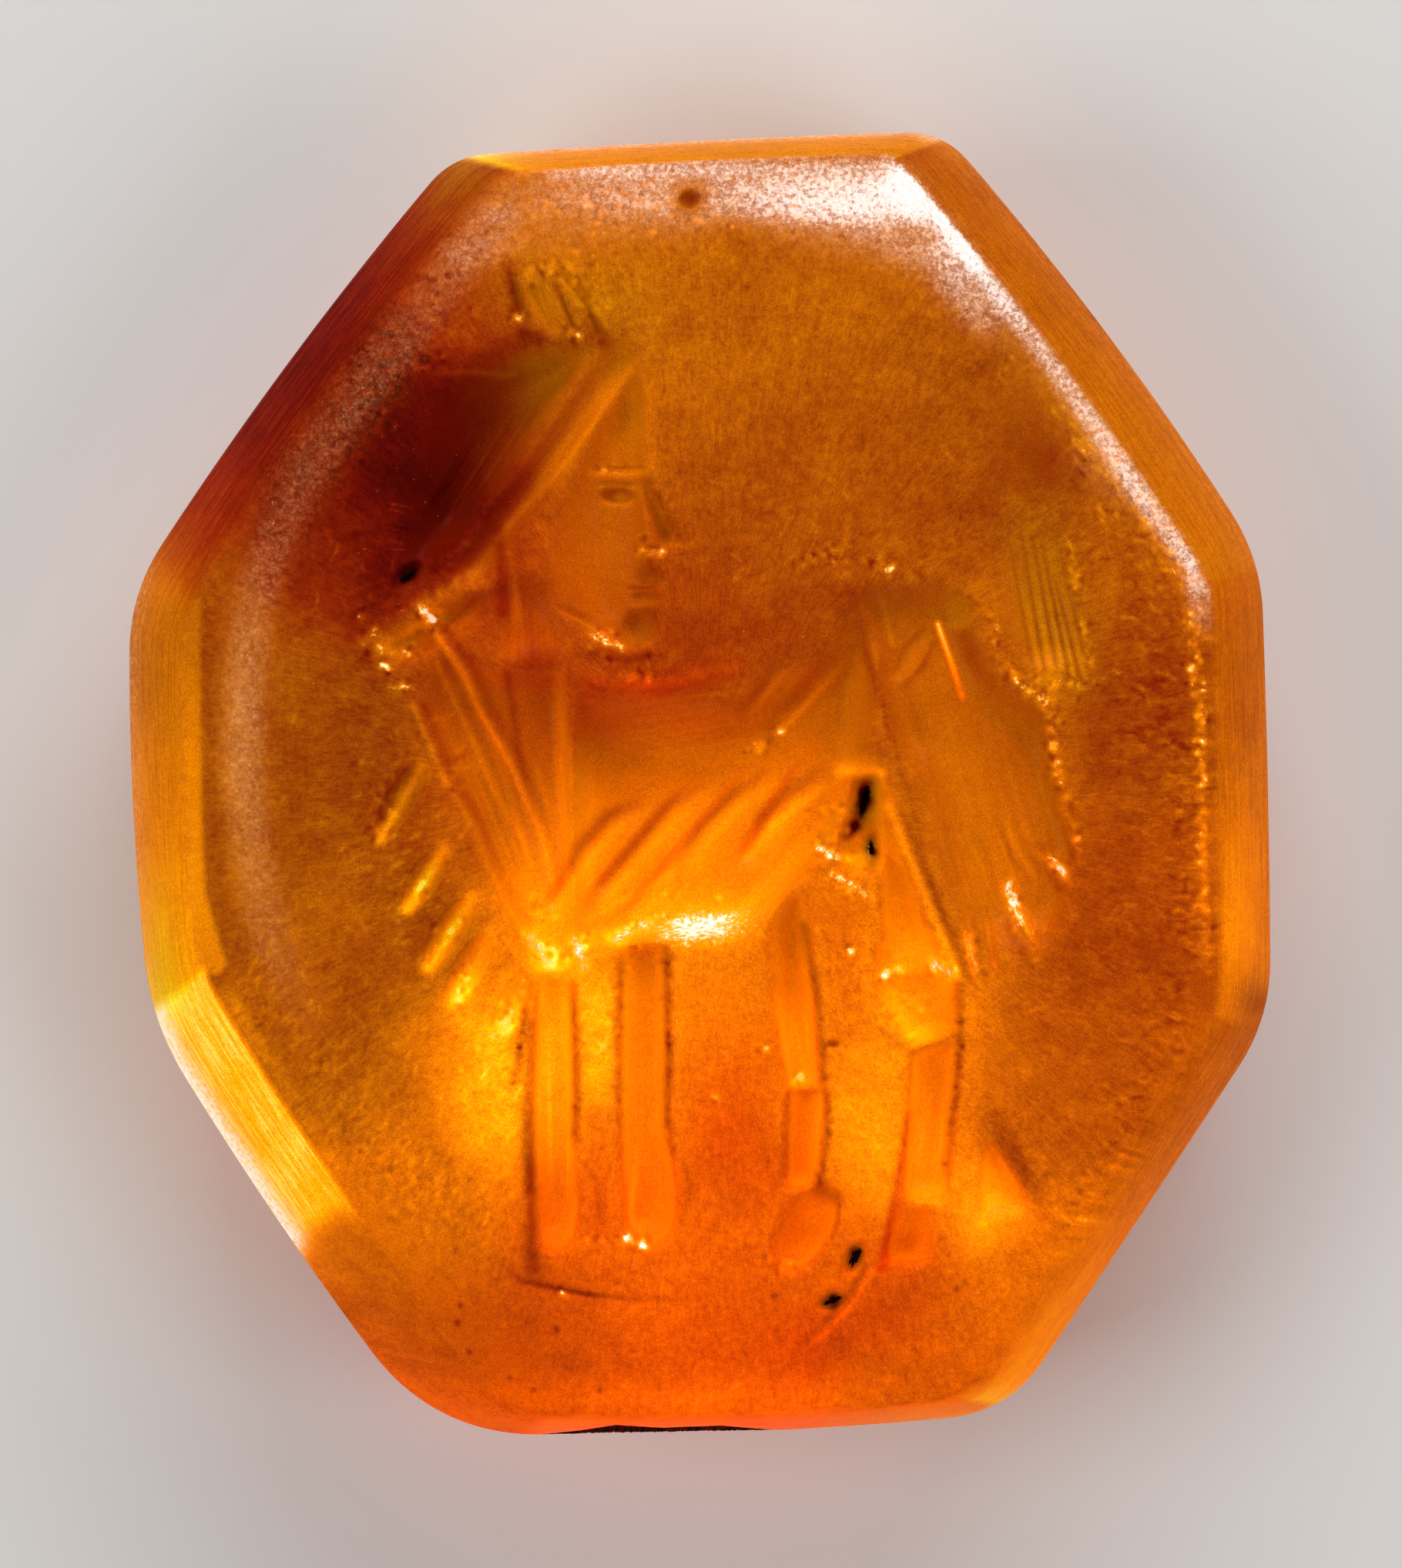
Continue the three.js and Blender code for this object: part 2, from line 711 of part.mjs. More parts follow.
function boatCut({ from, to, width, depth, sides, steps }) {
  const length = from.distanceTo(to);
  const ringAt = (share) => sectionRing(length, width, sides, share);
  return laidAlong(bowl(ringAt, depth, steps), from, to);
}

// A round dimple of a ball drill.
function drillCut(spot, diameter, depth) {
  const place = pointOnFace(spot);
  const ringAt = (share) => sectionRing(diameter, diameter, CUT_SIDES, share);
  return bowl(ringAt, depth, CUT_STEPS).translate(place.x, place.y, place.z);
}

// Fine lines side by side in the combed patch behind the wing.
function combLines() {
  const [topLeft, lowLeft, lowRight, topRight] = combBasinShares.map((row) => pointOnFace(onFace(row)));
  const cuts = [];
  for (let line = 0; line < COMB_LINES; line++) {
    const share = (line + 0.5) / COMB_LINES;
    const ends = [topLeft.clone().lerp(topRight, share), lowLeft.clone().lerp(lowRight, share)];
    cuts.push(boatCut(mark(ends, FINE_WIDTH, COMB_LINE_DEPTH)));
  }
  return cuts;
}

function figureCuts() {
  return [
    ...basins.map(basinCut),
    ...boatMarks.map(boatCut),
    ...combLines(),
    drillCut(onHead(eyePlaceShares), EYE_DIAMETER, CHEEK_DEPTH),
    drillCut(onHead(chinPlaceShares), CHIN_DIAMETER, FACE_CUT_DEPTH),
    drillCut(onFace(discPlaceShares), DISC_DIAMETER, DISC_DEPTH),
  ];
}

// Pits sunk from the floor of the cuts, and the matter in them. Both come from the same
// sizes: the matter is smaller all round by FILL_CLEARANCE, and its crown lies
// FILL_CROWN_DEPTH below the floor.
const pits = [
  {
    name: 'shoulder_fill_upper',
    floor: floorPoint(shoulderPitShares),
    length: SHOULDER_PIT_LENGTH,
    width: SHOULDER_PIT_WIDTH,
    turn: SHOULDER_PIT_TURN,
  },
  {
    name: 'shoulder_fill_lower',
    floor: floorPoint(shoulderLowPitShares),
    length: SHOULDER_LOW_PIT_LENGTH,
    width: SHOULDER_LOW_PIT_WIDTH,
    turn: SHOULDER_LOW_PIT_TURN,
  },
  {
    name: 'hoof_fill_upper',
    floor: floorPoint(hoofPitShares),
    length: HOOF_PIT_LENGTH,
    width: HOOF_PIT_WIDTH,
    turn: HOOF_PIT_TURN,
  },
  {
    name: 'hoof_fill_lower',
    floor: floorPoint(hoofLowPitShares),
    length: HOOF_LOW_PIT_LENGTH,
    width: HOOF_LOW_PIT_WIDTH,
    turn: HOOF_LOW_PIT_TURN,
  },
  {
    name: 'nape_fill',
    floor: floorPoint(napePitShares),
    length: NAPE_PIT_LENGTH,
    width: NAPE_PIT_WIDTH,
    turn: NAPE_PIT_TURN,
  },
];

// An upright shaft with an oval section, its long axis along Y and its foot at the origin.
function ovalShaft(length, width, height) {
  const geometry = new THREE.CylinderGeometry(1, 1, height, PIT_SIDES);
  geometry.rotateX(Math.PI / 2);
  geometry.scale(width / 2, length / 2, 1);
  return geometry.translate(0, 0, height / 2);
}

function pitCut({ floor, length, width, turn }) {
  const geometry = ovalShaft(length, width, PIT_DEPTH + OVERRUN);
  geometry.rotateZ(THREE.MathUtils.degToRad(turn));
  return geometry.translate(floor.x, floor.y, floor.z - PIT_DEPTH);
}

// The chip and its crust lie along the lower side. Their outline runs from one end of the
// chip to the other, with x along the side and y into the stone.
const plainCorners = insetCorners(outlineShares.map(() => 0));
const [chipFrom, chipTo] = [chipFromShare, chipToShare].map((share) =>
  fitted(sidePoint(plainCorners, 0, share)),
);
const CHIP_LENGTH = chipFrom.distanceTo(chipTo);
const chipTurn = Math.atan2(chipTo.y - chipFrom.y, chipTo.x - chipFrom.x);

function chipOutline(grow) {
  return chipOutlineShares.map(([along, inward]) => {
    const x = along * (CHIP_LENGTH + 2 * grow) - grow;
    return new THREE.Vector2(x, inward * CRUST_DEPTH + grow);
  });
}

function crustGeometry() {
  const shape = new THREE.Shape(chipOutline(0));
  return new THREE.ExtrudeGeometry(shape, { depth: CRUST_HEIGHT, bevelEnabled: false });
}

const CRUST_FOOT = GIRDLE_TOP + CRUST_LIP - CRUST_HEIGHT;

function chipCut() {
  const [start, ...rest] = chipOutline(FILL_CLEARANCE);
  const outside = [start, rest[0]].map((end) => new THREE.Vector2(end.x, -OVERRUN));
  const shape = new THREE.Shape([...outside, ...rest, start]);
  const height = STONE_THICKNESS - CRUST_FOOT + FILL_CLEARANCE + OVERRUN;
  const geometry = new THREE.ExtrudeGeometry(shape, { depth: height, bevelEnabled: false });
  geometry.rotateZ(chipTurn);
  return geometry.translate(chipFrom.x, chipFrom.y, CRUST_FOOT - FILL_CLEARANCE);
}

// The whole part

const stoneMaterial = new THREE.MeshStandardMaterial({ color: 0xb85c0a, roughness: 0.4, metalness: 0 });
const fillMaterial = new THREE.MeshStandardMaterial({ color: 0x170b06, roughness: 0.9, metalness: 0 });
const crustMaterial = new THREE.MeshStandardMaterial({ color: 0x260b05, roughness: 0.8, metalness: 0 });

function named(name, geometry, material) {
  const mesh = new THREE.Mesh(geometry, material);
  mesh.name = name;
  return mesh;
}

function gemStone() {
  const cutters = [...figureCuts(), ...pits.map(pitCut), chipCut()];
  const solid = cutters.reduce(
    (stone, cutter) => stone.subtract(solidOf(cutter)),
    solidOf(stoneBlank()),
  );
  return named('gem_stone', geometryOf(solid), stoneMaterial);
}

function pitFill({ name, floor, length, width, turn }) {
  const shrink = 2 * FILL_CLEARANCE;
  const height = PIT_DEPTH - FILL_CROWN_DEPTH - FILL_CLEARANCE;
  const mesh = named(name, ovalShaft(length - shrink, width - shrink, height), fillMaterial);
  mesh.position.set(floor.x, floor.y, floor.z - PIT_DEPTH + FILL_CLEARANCE);
  mesh.rotation.z = THREE.MathUtils.degToRad(turn);
  return mesh;
}

function edgeCrust() {
  const mesh = named('edge_crust', crustGeometry(), crustMaterial);
  mesh.position.set(chipFrom.x, chipFrom.y, CRUST_FOOT);
  mesh.rotation.z = chipTurn;
  return mesh;
}

const gem = new THREE.Group();
gem.name = 'intaglio_gem';
gem.add(gemStone(), ...pits.map(pitFill), edgeCrust());

export default gem;
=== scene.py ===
"""Looks of an engraved ring stone, on its back with its engraved face up.

The stone's blank repeats the outline and profile of the CAD part. The engraving is a depth
field on a fine raster of the face: every cut is added to it as a stroke, a patch or a
dimple, and the face's mesh takes its heights from it. The same field, and a few zones of
tone, paint the glow that the light makes inside the stone and the shade on the walls of the
cuts: painted light and painted shade in the stone's colour, which also goes out as emission.

Lengths are millimetres, except that places and widths in the photograph's frame are pixels:
they stand in tables and names that end in px, and in the calls that engrave the figure.
"""

import math

import bpy
import numpy as np
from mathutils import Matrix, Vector


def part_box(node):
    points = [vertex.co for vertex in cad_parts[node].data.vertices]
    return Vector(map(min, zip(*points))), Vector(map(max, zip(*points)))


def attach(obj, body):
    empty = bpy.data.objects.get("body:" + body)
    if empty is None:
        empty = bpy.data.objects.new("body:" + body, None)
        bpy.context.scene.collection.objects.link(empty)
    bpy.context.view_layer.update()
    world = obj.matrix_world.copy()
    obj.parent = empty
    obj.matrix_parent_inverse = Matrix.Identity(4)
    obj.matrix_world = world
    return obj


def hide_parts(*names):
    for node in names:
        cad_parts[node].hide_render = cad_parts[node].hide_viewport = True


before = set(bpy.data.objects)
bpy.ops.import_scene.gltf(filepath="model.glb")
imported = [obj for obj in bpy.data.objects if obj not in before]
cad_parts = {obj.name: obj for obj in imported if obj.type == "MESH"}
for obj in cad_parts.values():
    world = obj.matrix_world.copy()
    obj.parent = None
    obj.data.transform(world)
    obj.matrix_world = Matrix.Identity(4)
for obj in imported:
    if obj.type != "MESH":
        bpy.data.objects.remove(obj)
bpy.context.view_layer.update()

MM = 0.001
RANDOM = np.random.default_rng(7)

# The stone as the CAD has it
STONE_LOW, STONE_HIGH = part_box("gem_stone")
STONE_WIDTH = (STONE_HIGH.x - STONE_LOW.x) / MM
STONE_LENGTH = (STONE_HIGH.y - STONE_LOW.y) / MM
STONE_THICKNESS = 4.6
FACE_RISE = 0.55
BEVEL_HEIGHT = 1.05
BEVEL_WIDTH = 1
BEVEL_CURVE = 1.6
GIRDLE_BAND = 0.6
SIDE_TAPER = 0.35
BACK_CHAMFER = 0.35
CORNER_ROUND = 1
HALF_SIZE = np.array([STONE_WIDTH, STONE_LENGTH]) / 2
RIM_HEIGHT = STONE_THICKNESS - FACE_RISE
GIRDLE_TOP = RIM_HEIGHT - BEVEL_HEIGHT
GIRDLE_LOW = GIRDLE_TOP - GIRDLE_BAND

# Anticlockwise from the lower left corner: its place as shares of the half size, its
# rounding share, and then the bevel share and bow share of the side that starts there
OUTLINE_SHARES = np.array([
    [-0.468, -1.005, 1.3, 0.3, 0.018],
    [0.539, -0.974, 0.8, 0.7, 0.003],
    [0.999, -0.364, 0.75, 0.8, 0.005],
    [0.982, 0.346, 0.7, 0.8, 0.021],
    [0.424, 1.008, 0.5, 0.35, 0.006],
    [-0.434, 0.969, 0.45, 0.9, 0.018],
    [-0.999, 0.292, 0.75, 0.78, 0.018],
    [-0.961, -0.37, 0.8, 1, 0.016],
])
DOME_POWER = 2.6

# Fineness of the stone's mesh: rings on the face, samples of a ring's corners and sides,
# and rows down the bevel, the upright band, the tapered side and the chamfer
FACE_RINGS = 280
SECTORS = 6
RIM_SAMPLES = FACE_RINGS * SECTORS
CORNER_STEPS = 18
SIDE_STEPS = 44
BEVEL_ROWS = 22
GIRDLE_ROWS = 5
TAPER_ROWS = 12
CHAMFER_ROWS = 3
BACK_SHARES = [0.8, 0.55, 0.3]

# The photograph's frame, and where a pixel of it lies on the stone
PHOTO_WIDTH = 1820
PHOTO_HEIGHT = 2036
STONE_MIDDLE_PX = np.array([908.5, 1017.5])
STONE_WIDTH_PX = 1481
MM_PER_PX = STONE_WIDTH / STONE_WIDTH_PX

# The raster of the face
CELL = 0.02
GRID_HALF = HALF_SIZE + 0.2
GRID_X = np.arange(-GRID_HALF[0], GRID_HALF[0], CELL)
GRID_Y = np.arange(-GRID_HALF[1], GRID_HALF[1], CELL)
FIELD_SHAPE = (len(GRID_Y), len(GRID_X))
FORM_SOFTENING = 14

# How much painted shade the walls of a cut get where no cut says otherwise
PLAIN_WALL = 0.35

# How strongly depth and slope change the glow: painted glow where the cut is deep, painted
# shade on steep walls, painted light and shade by the slope and the way the light comes
# from, and how much yellower deep nooks and steep polished walls are painted
DEPTH_GLOW = 0.05
WALL_DARKNESS = 0.3
GENTLE_SLOPE = 1.1
STEEP_SLOPE = 3.2
LIGHT_SHARE = 0.07
NOOK_YELLOW = 1.4
WALL_YELLOW = 0.5
LIGHT_WAY = np.array([0.55, -0.83])

# The ground's fine roughness in height and in tone, how far polish takes it away, and the
# tone of its broad mottling
GROUND_RELIEF = 0.004
GROUND_TONE = 0.02
POLISH_CALM = 0.6
MOTTLE_TONE = 0.012

# The painted glow that the sides fade to below the bevels, and how fully they fade
SIDE_TONE = 0.44
SIDE_FADE = 0.85

# The bevel's frost with its painted sheen: how wide it is at the inner and the outer edge, as
# shares of the bevel, how much is gone at the stone's foot, and how much of the face's frost
# and painted sheen is added
INNER_FROST_SHEEN_WIDTH = 0.25
OUTER_FROST_SHEEN_WIDTH = 0.5
FROST_SHEEN_FADE = 0.6
FACE_FROST_SHEEN_SHARE = 0.2

# How polished the bevels are, and how near the rim the cuts run out, as a share
BEVEL_POLISH = 0.7
RIM_FADE = 0.02

# How fine the ground's fibres are across and along, in cells per millimetre at the rim, and
# how far they move on from one ring of the sides to the next
FIBRE_ACROSS = 77
FIBRE_ALONG = 3.4
SIDE_FIBRE_STEP = 0.06

# The stone's map: how far the face and everything reach in it, and the share of the room
# between them that the sides and the back take
LAYOUT_FACE = 0.4
LAYOUT_HALF = 0.5
LAYOUT_FILL = 0.98


def from_px(points):
    """Millimetres on the face from pixels of the photograph's frame."""
    offset = (np.array(points, float) - STONE_MIDDLE_PX) * MM_PER_PX
    return offset * [1, -1]


def ramp(value):
    """0 to 1 with soft ends."""
    share = np.clip(value, 0, 1)
    return share * share * (3 - 2 * share)


# The stone's rings

def cross(first, second):
    return first[..., 0] * second[..., 1] - first[..., 1] * second[..., 0]


def inset_corners(insets):
    """Corners of the outline after each side has moved in by its own inset."""
    corners = OUTLINE_SHARES[:, :2] * HALF_SIZE
    along = np.roll(corners, -1, axis=0) - corners
    along /= np.linalg.norm(along, axis=1)[:, None]
    inward = np.stack([-along[:, 1], along[:, 0]], 1)
    starts = corners + inward * insets[:, None]
    before = np.roll(starts, 1, axis=0)
    before_along = np.roll(along, 1, axis=0)
    reach = cross(starts - before, along) / cross(before_along, along)
    return before + before_along * reach[:, None]


def side_points(corners, side, shares):
    """Places on a side, which bows outwards by a share of its length."""
    start = corners[side]
    along = corners[(side + 1) % len(corners)] - start
    outward = np.array([along[1], -along[0]])
    bow = OUTLINE_SHARES[side, 4] * 4 * shares * (1 - shares)
    return start + along * shares[:, None] + outward * bow[:, None]


def plain_ring(inset, bevel_share, round_share):
    corners = inset_corners(inset + OUTLINE_SHARES[:, 3] * BEVEL_WIDTH * bevel_share)
    count = len(corners)
    reaches = OUTLINE_SHARES[:, 2] * CORNER_ROUND * round_share
    lengths = np.linalg.norm(np.roll(corners, -1, axis=0) - corners, axis=1)
    turn = np.linspace(0, 1, CORNER_STEPS, endpoint=False)[:, None]
    points = []
    for side in range(count):
        before = (side - 1) % count
        start_share = reaches[side] / lengths[side]
        end_share = 1 - reaches[(side + 1) % count] / lengths[side]
        arc_start = side_points(corners, before, np.array([1 - reaches[side] / lengths[before]]))
        arc_end = side_points(corners, side, np.array([start_share]))
        arc = arc_start * (1 - turn) ** 2 + corners[side] * 2 * turn * (1 - turn) + arc_end * turn ** 2
        shares = np.linspace(start_share, end_share, SIDE_STEPS, endpoint=False)
        points += [arc, side_points(corners, side, shares)]
    return np.concatenate(points)


OUTER_RING = plain_ring(0, 0, 1)
OUTER_MIDDLE = (OUTER_RING.max(axis=0) + OUTER_RING.min(axis=0)) / 2
OUTER_SIZE = OUTER_RING.max(axis=0) - OUTER_RING.min(axis=0)


def ring(inset, bevel_share, round_share):
    """A ring fitted so that the outermost one has the stone's exact size."""
    plain = plain_ring(inset, bevel_share, round_share)
    return (plain - OUTER_MIDDLE) * HALF_SIZE * 2 / OUTER_SIZE


def even_places(points, count):
    """Fractional places along a closed ring that are evenly far apart."""
    steps = np.linalg.norm(np.roll(points, -1, axis=0) - points, axis=1)
    reached = np.concatenate([[0], np.cumsum(steps)])
    wanted = np.linspace(0, reached[-1], count, endpoint=False)
    return np.interp(wanted, reached, np.arange(len(points) + 1))


def resampled(points, places):
    low = np.floor(places).astype(int)
    part = (places - low)[:, None]
    count = len(points)
    return points[low % count] * (1 - part) + points[(low + 1) % count] * part


RIM_SHAPE = ring(0, 1, 0.5)
RIM_PLACES = even_places(RIM_SHAPE, RIM_SAMPLES)
RIM = resampled(RIM_SHAPE, RIM_PLACES)
SIDE_OF_SAMPLE = RIM_PLACES / (CORNER_STEPS + SIDE_STEPS)

# The chip in the lower edge, from its left end: shares of the way along, and how far it
# goes in there as a share of its depth
CHIP_DEPTH = 0.15
CHIP_SHARES = np.array([[0, 0], [0.18, 0.45], [0.33, 1], [0.52, 0.6], [0.76, 0.72], [1, 0]])
CRUST_POINTS = np.array([vertex.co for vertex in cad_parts["edge_crust"].data.vertices]) / MM
CHIP_START = CRUST_POINTS[CRUST_POINTS[:, 0].argmin(), :2]
CHIP_END = CRUST_POINTS[CRUST_POINTS[:, 0].argmax(), :2]
CHIP_FOOT = CRUST_POINTS[:, 2].min()
CHIP_TOP = CRUST_POINTS[:, 2].max()
CHIP_MIDDLE = (CHIP_FOOT + CHIP_TOP) / 2
CHIP_LENGTH = np.linalg.norm(CHIP_END - CHIP_START)
CHIP_WAY = (CHIP_END - CHIP_START) / CHIP_LENGTH
CHIP_INWARD = np.array([-CHIP_WAY[1], CHIP_WAY[0]])


def chip_wall(shares):
    """How far in the chip's wall lies at shares of the way along it."""
    return CHIP_DEPTH * np.interp(shares, *CHIP_SHARES.T)


def crust_reach(shares):
    """How far the crust reaches up and down from its middle, as a share of half its height."""
    lens = (1 - (2 * shares - 1) ** 2) ** 0.3
    return lens * (0.8 + 0.12 * np.sin(17 * shares) + 0.08 * np.sin(41 * shares + 1))


def chipped(points, height):
    """A ring's points, moved in to the chip's wall where they lie outside it."""
    offset = points - CHIP_START
    shares = offset @ CHIP_WAY / CHIP_LENGTH
    foot = CHIP_MIDDLE - crust_reach(np.clip(shares, 0, 1)) * (CHIP_TOP - CHIP_FOOT) / 2
    wall = chip_wall(shares) * ramp((height - foot) / CHIP_DEPTH + 0.5)
    missing = np.clip(wall - offset @ CHIP_INWARD, 0, 2 * CHIP_DEPTH) * (wall > 0)
    return points + missing[:, None] * CHIP_INWARD


# The fields on the raster: how far the face is cut down, in millimetres, and beside it the
# tone, which holds the painted glow and painted shade, and the redness, olive, frost with its
# painted sheen, painted glints, bevel glow (painted light), bevel hue, rolled places and
# polish that each cut and each worn place brings, and how much painted shade each cut's
# walls get

depth, tone, red, olive, frost_sheen, glint_light = np.zeros((6, *FIELD_SHAPE))
bevel_glow, bevel_hue, rolled, polish = np.zeros((4, *FIELD_SHAPE))
darkness = np.full(FIELD_SHAPE, PLAIN_WALL)


def bilinear(values, column, row):
    """Values between the cells of a raster, at fractional columns and rows."""
    height, width = values.shape
    column = np.clip(column, 0, width - 1.001)
    row = np.clip(row, 0, height - 1.001)
    left = column.astype(int)
    low = row.astype(int)
    right_part = column - left
    top_part = row - low
    below = values[low, left] * (1 - right_part) + values[low, left + 1] * right_part
    above = values[low + 1, left] * (1 - right_part) + values[low + 1, left + 1] * right_part
    return below * (1 - top_part) + above * top_part


def sampled(values, points):
    """A field's values at some places on the stone."""
    return bilinear(values, (points[:, 0] - GRID_X[0]) / CELL, (points[:, 1] - GRID_Y[0]) / CELL)


def over_raster(values, step):
    """A coarse raster's values at every cell, where it has one cell for each step."""
    columns, rows = np.meshgrid(np.arange(FIELD_SHAPE[1]) / step, np.arange(FIELD_SHAPE[0]) / step)
    return bilinear(values, columns, rows)


def blurred(values, passes):
    """A soft copy of a field."""
    for _ in range(passes):
        for axis in (0, 1):
            values = (np.roll(values, 1, axis) + values * 2 + np.roll(values, -1, axis)) / 4
    return values


def far_blurred(values):
    """A copy of a field that is softened over about half a millimetre."""
    step = 6
    return over_raster(blurred(blurred(values, 4)[::step, ::step], 12), step)


def rough_noise(step):
    """Seeded noise about as coarse as a step of cells."""
    values = blurred(RANDOM.normal(0, 1, (FIELD_SHAPE[0] // step + 2, FIELD_SHAPE[1] // step + 2)), 1)
    return over_raster(values / values.std(), step)


def window(places, margin):
    """The part of the raster round some places, and the coordinates of its cells."""
    low = places.min(axis=0) - margin
    high = places.max(axis=0) + margin
    columns = slice(*np.searchsorted(GRID_X, [low[0], high[0]]))
    rows = slice(*np.searchsorted(GRID_Y, [low[1], high[1]]))
    x, y = np.meshgrid(GRID_X[columns], GRID_Y[rows])
    return (rows, columns), np.stack([x, y], -1)


def cut(part, shape, deep, glow=0, added=False, edge=0.15):
    """Takes a cut out of the face. Its shape is 0 outside and 1 where it is deepest, edge says
    how much painted shade its walls get, and glow paints its floor lighter, and darker where it
    is below 0, as painted light and shade."""
    floor = shape * deep
    rises = shape > 0.01 if added else floor > depth[part]
    darkness[part] = np.where(rises & (shape > 0), edge, darkness[part])
    depth[part] = depth[part] + floor if added else np.maximum(depth[part], floor)
    cover = np.clip(shape, 0, 1)
    tone[part] += cover * glow
    polish[part] = np.maximum(polish[part], ramp(cover * 3))


def stroke_frame(ends, widths):
    start, end = from_px(ends)
    half = np.array(widths) * MM_PER_PX / 2
    part, place = window(np.array([start, end]), half.max() + 0.1)
    along = end - start
    length = np.linalg.norm(along)
    along /= length
    across = np.array([-along[1], along[0]])
    offset = place - start
    share = offset @ along / length
    half_here = half[0] + (half[1] - half[0]) * np.clip(share, 0, 1)
    return part, share, offset @ across / half_here


def stroke(ends, widths, deep, steep=0, wall=0.3, tips=(0.1, 0.1), **finish):
    """A wheel's cut between two places. Its steep wall is on the left of its way for 1, on
    the right for -1, and on both sides for 0."""
    part, share, side = stroke_frame(ends, widths)
    if steep:
        side = side * steep
        section = np.minimum(ramp((1 - side) / wall), np.clip((1 + side) / (2 - wall), 0, 1))
    else:
        section = ramp((1 - np.abs(side)) / wall)
    tip = ramp(share / tips[0]) * ramp((1 - share) / tips[1])
    cut(part, section * tip, deep, **finish)


def boat(ends, width, deep, power=0.5, **finish):
    """A boat-shaped cut, deepest in its middle, that ends in the two places."""
    part, share, side = stroke_frame(ends, (width, width))
    inside = np.clip(1 - (2 * share - 1) ** 2 - side ** 2, 0, 1)
    cut(part, inside ** power, deep, **finish)


def patch(rows, deep, tilt=(0, 0), **finish):
    """A basin with straight sides. Each row is a corner's place and the wall width of the side
    that starts there, in pixels, and the floor tilts by mm per mm."""
    places = from_px([row[:2] for row in rows])
    part, place = window(places, 0.1)
    share = np.ones(place.shape[:2])
    within = np.zeros(place.shape[:2], bool)
    for index, row in enumerate(rows):
        start, end = places[index], places[(index + 1) % len(rows)]
        gap, _ = line_distance([start, end], place)
        share *= ramp(gap / (row[2] * MM_PER_PX))
        spans = (start[1] > place[..., 1]) != (end[1] > place[..., 1])
        way = (end[0] - start[0]) / (end[1] - start[1] or 1)
        within ^= spans & (place[..., 0] < start[0] + (place[..., 1] - start[1]) * way)
    slope = 1 + (place - places.mean(axis=0)) @ np.array(tilt) / deep
    cut(part, np.where(within, share, 0) * np.clip(slope, 0.1, 2), deep, **finish)


def dimple(centre, size, deep, turn=0, **finish):
    """An oval hollow: size is its half width and half length in pixels."""
    centre = from_px([centre])
    half = np.array(size) * MM_PER_PX
    part, place = window(centre, half.max() + 0.05)
    angle = math.radians(turn)
    x, y = np.moveaxis(place - centre[0], -1, 0)
    across = x * math.cos(angle) + y * math.sin(angle)
    along = y * math.cos(angle) - x * math.sin(angle)
    inside = np.clip(1 - (across / half[0]) ** 2 - (along / half[1]) ** 2, 0, 1)
    cut(part, np.sqrt(inside), deep, **finish)


def line_distance(path, place):
    """The distance from each cell to a path, and how far along the path that is."""
    best = np.full(place.shape[:2], np.inf)
    reached = np.zeros(place.shape[:2])
    steps = len(path) - 1
    for index in range(steps):
        start = path[index]
        along = path[index + 1] - start
        share = np.clip((place - start) @ along / (along @ along), 0, 1)
        gap = np.linalg.norm(place - start - share[..., None] * along, axis=-1)
        nearer = gap < best
        best = np.where(nearer, gap, best)
        reached = np.where(nearer, (index + share) / steps, reached)
    return best, reached


def smear(target, path, width, strengths, sharpness=2):
    """Adds a soft band along a path to a field, with its strength at even steps."""
    places = from_px(path)
    part, place = window(places, width * MM_PER_PX * 1.6)
    gap, reached = line_distance(places, place)
    strength = np.interp(reached, np.linspace(0, 1, len(strengths)), strengths)
    target[part] += strength * np.exp(-((gap / (width * MM_PER_PX / 2)) ** sharpness))


def shade(target, *rows, sharpness=2):
    """Soft bands on a field. Each row is a width, strengths in hundredths, and a path as x
    and y in turn."""
    for width, strengths, *path in rows:
        smear(target, np.reshape(path, (-1, 2)), width, np.array(strengths) / 100, sharpness)


def dab(target, place_px, size, value):
    """A soft dot on a field: its size is the radius in pixels."""
    centre = from_px([place_px])
    part, place = window(centre, size * 3 * MM_PER_PX)
    gap = ((place - centre[0]) ** 2).sum(axis=-1)
    target[part] += value * np.exp(-gap / (size * MM_PER_PX) ** 2)


def scattered(path, width, count):
    """Random places beside a path."""
    line = np.array(path, float)
    for share in RANDOM.uniform(0, len(line) - 1.001, count):
        step = int(share)
        place = line[step] + (line[step + 1] - line[step]) * (share - step)
        yield place + RANDOM.normal(0, width / 3, 2)


def grain_glints(path, width, count, light=0.5, shadow=0.16):
    """Crushed stone scattered along a path, painted: each grain is a painted glint with a lighter
    halo, and has a painted shadow beside it.
    """
    for place in scattered(path, width, count):
        size = RANDOM.uniform(1.8, 4)
        strength = RANDOM.uniform(0.2, 1)
        dab(glint_light, place, size, light * strength)
        dab(tone, place, size * 1.4, light * strength * 0.4)
        dab(tone, place + RANDOM.normal(0, size * 1.5, 2), size * 1.3, -shadow * strength)


def hairs(path, width, count, turn, light=0.14):
    """Short fine ridges and grooves scattered along a path, which lean by an angle, drawn only as
    painted light and shade, with a painted glint on the brightest.
    """
    for place in scattered(path, width, count):
        angle = math.radians(turn + RANDOM.normal(0, 20))
        reach = np.array([math.cos(angle), -math.sin(angle)]) * RANDOM.uniform(5, 13)
        strength = RANDOM.uniform(-0.8, 1) * light
        bend = RANDOM.normal(0, 2, 2)
        smear(tone, [place - reach, place + bend, place + reach], 4.5, (0, strength, strength * 0.5))
        if strength > 0.6 * light:
            smear(glint_light, [place, place + reach], 4, (0.1, 2 * light))


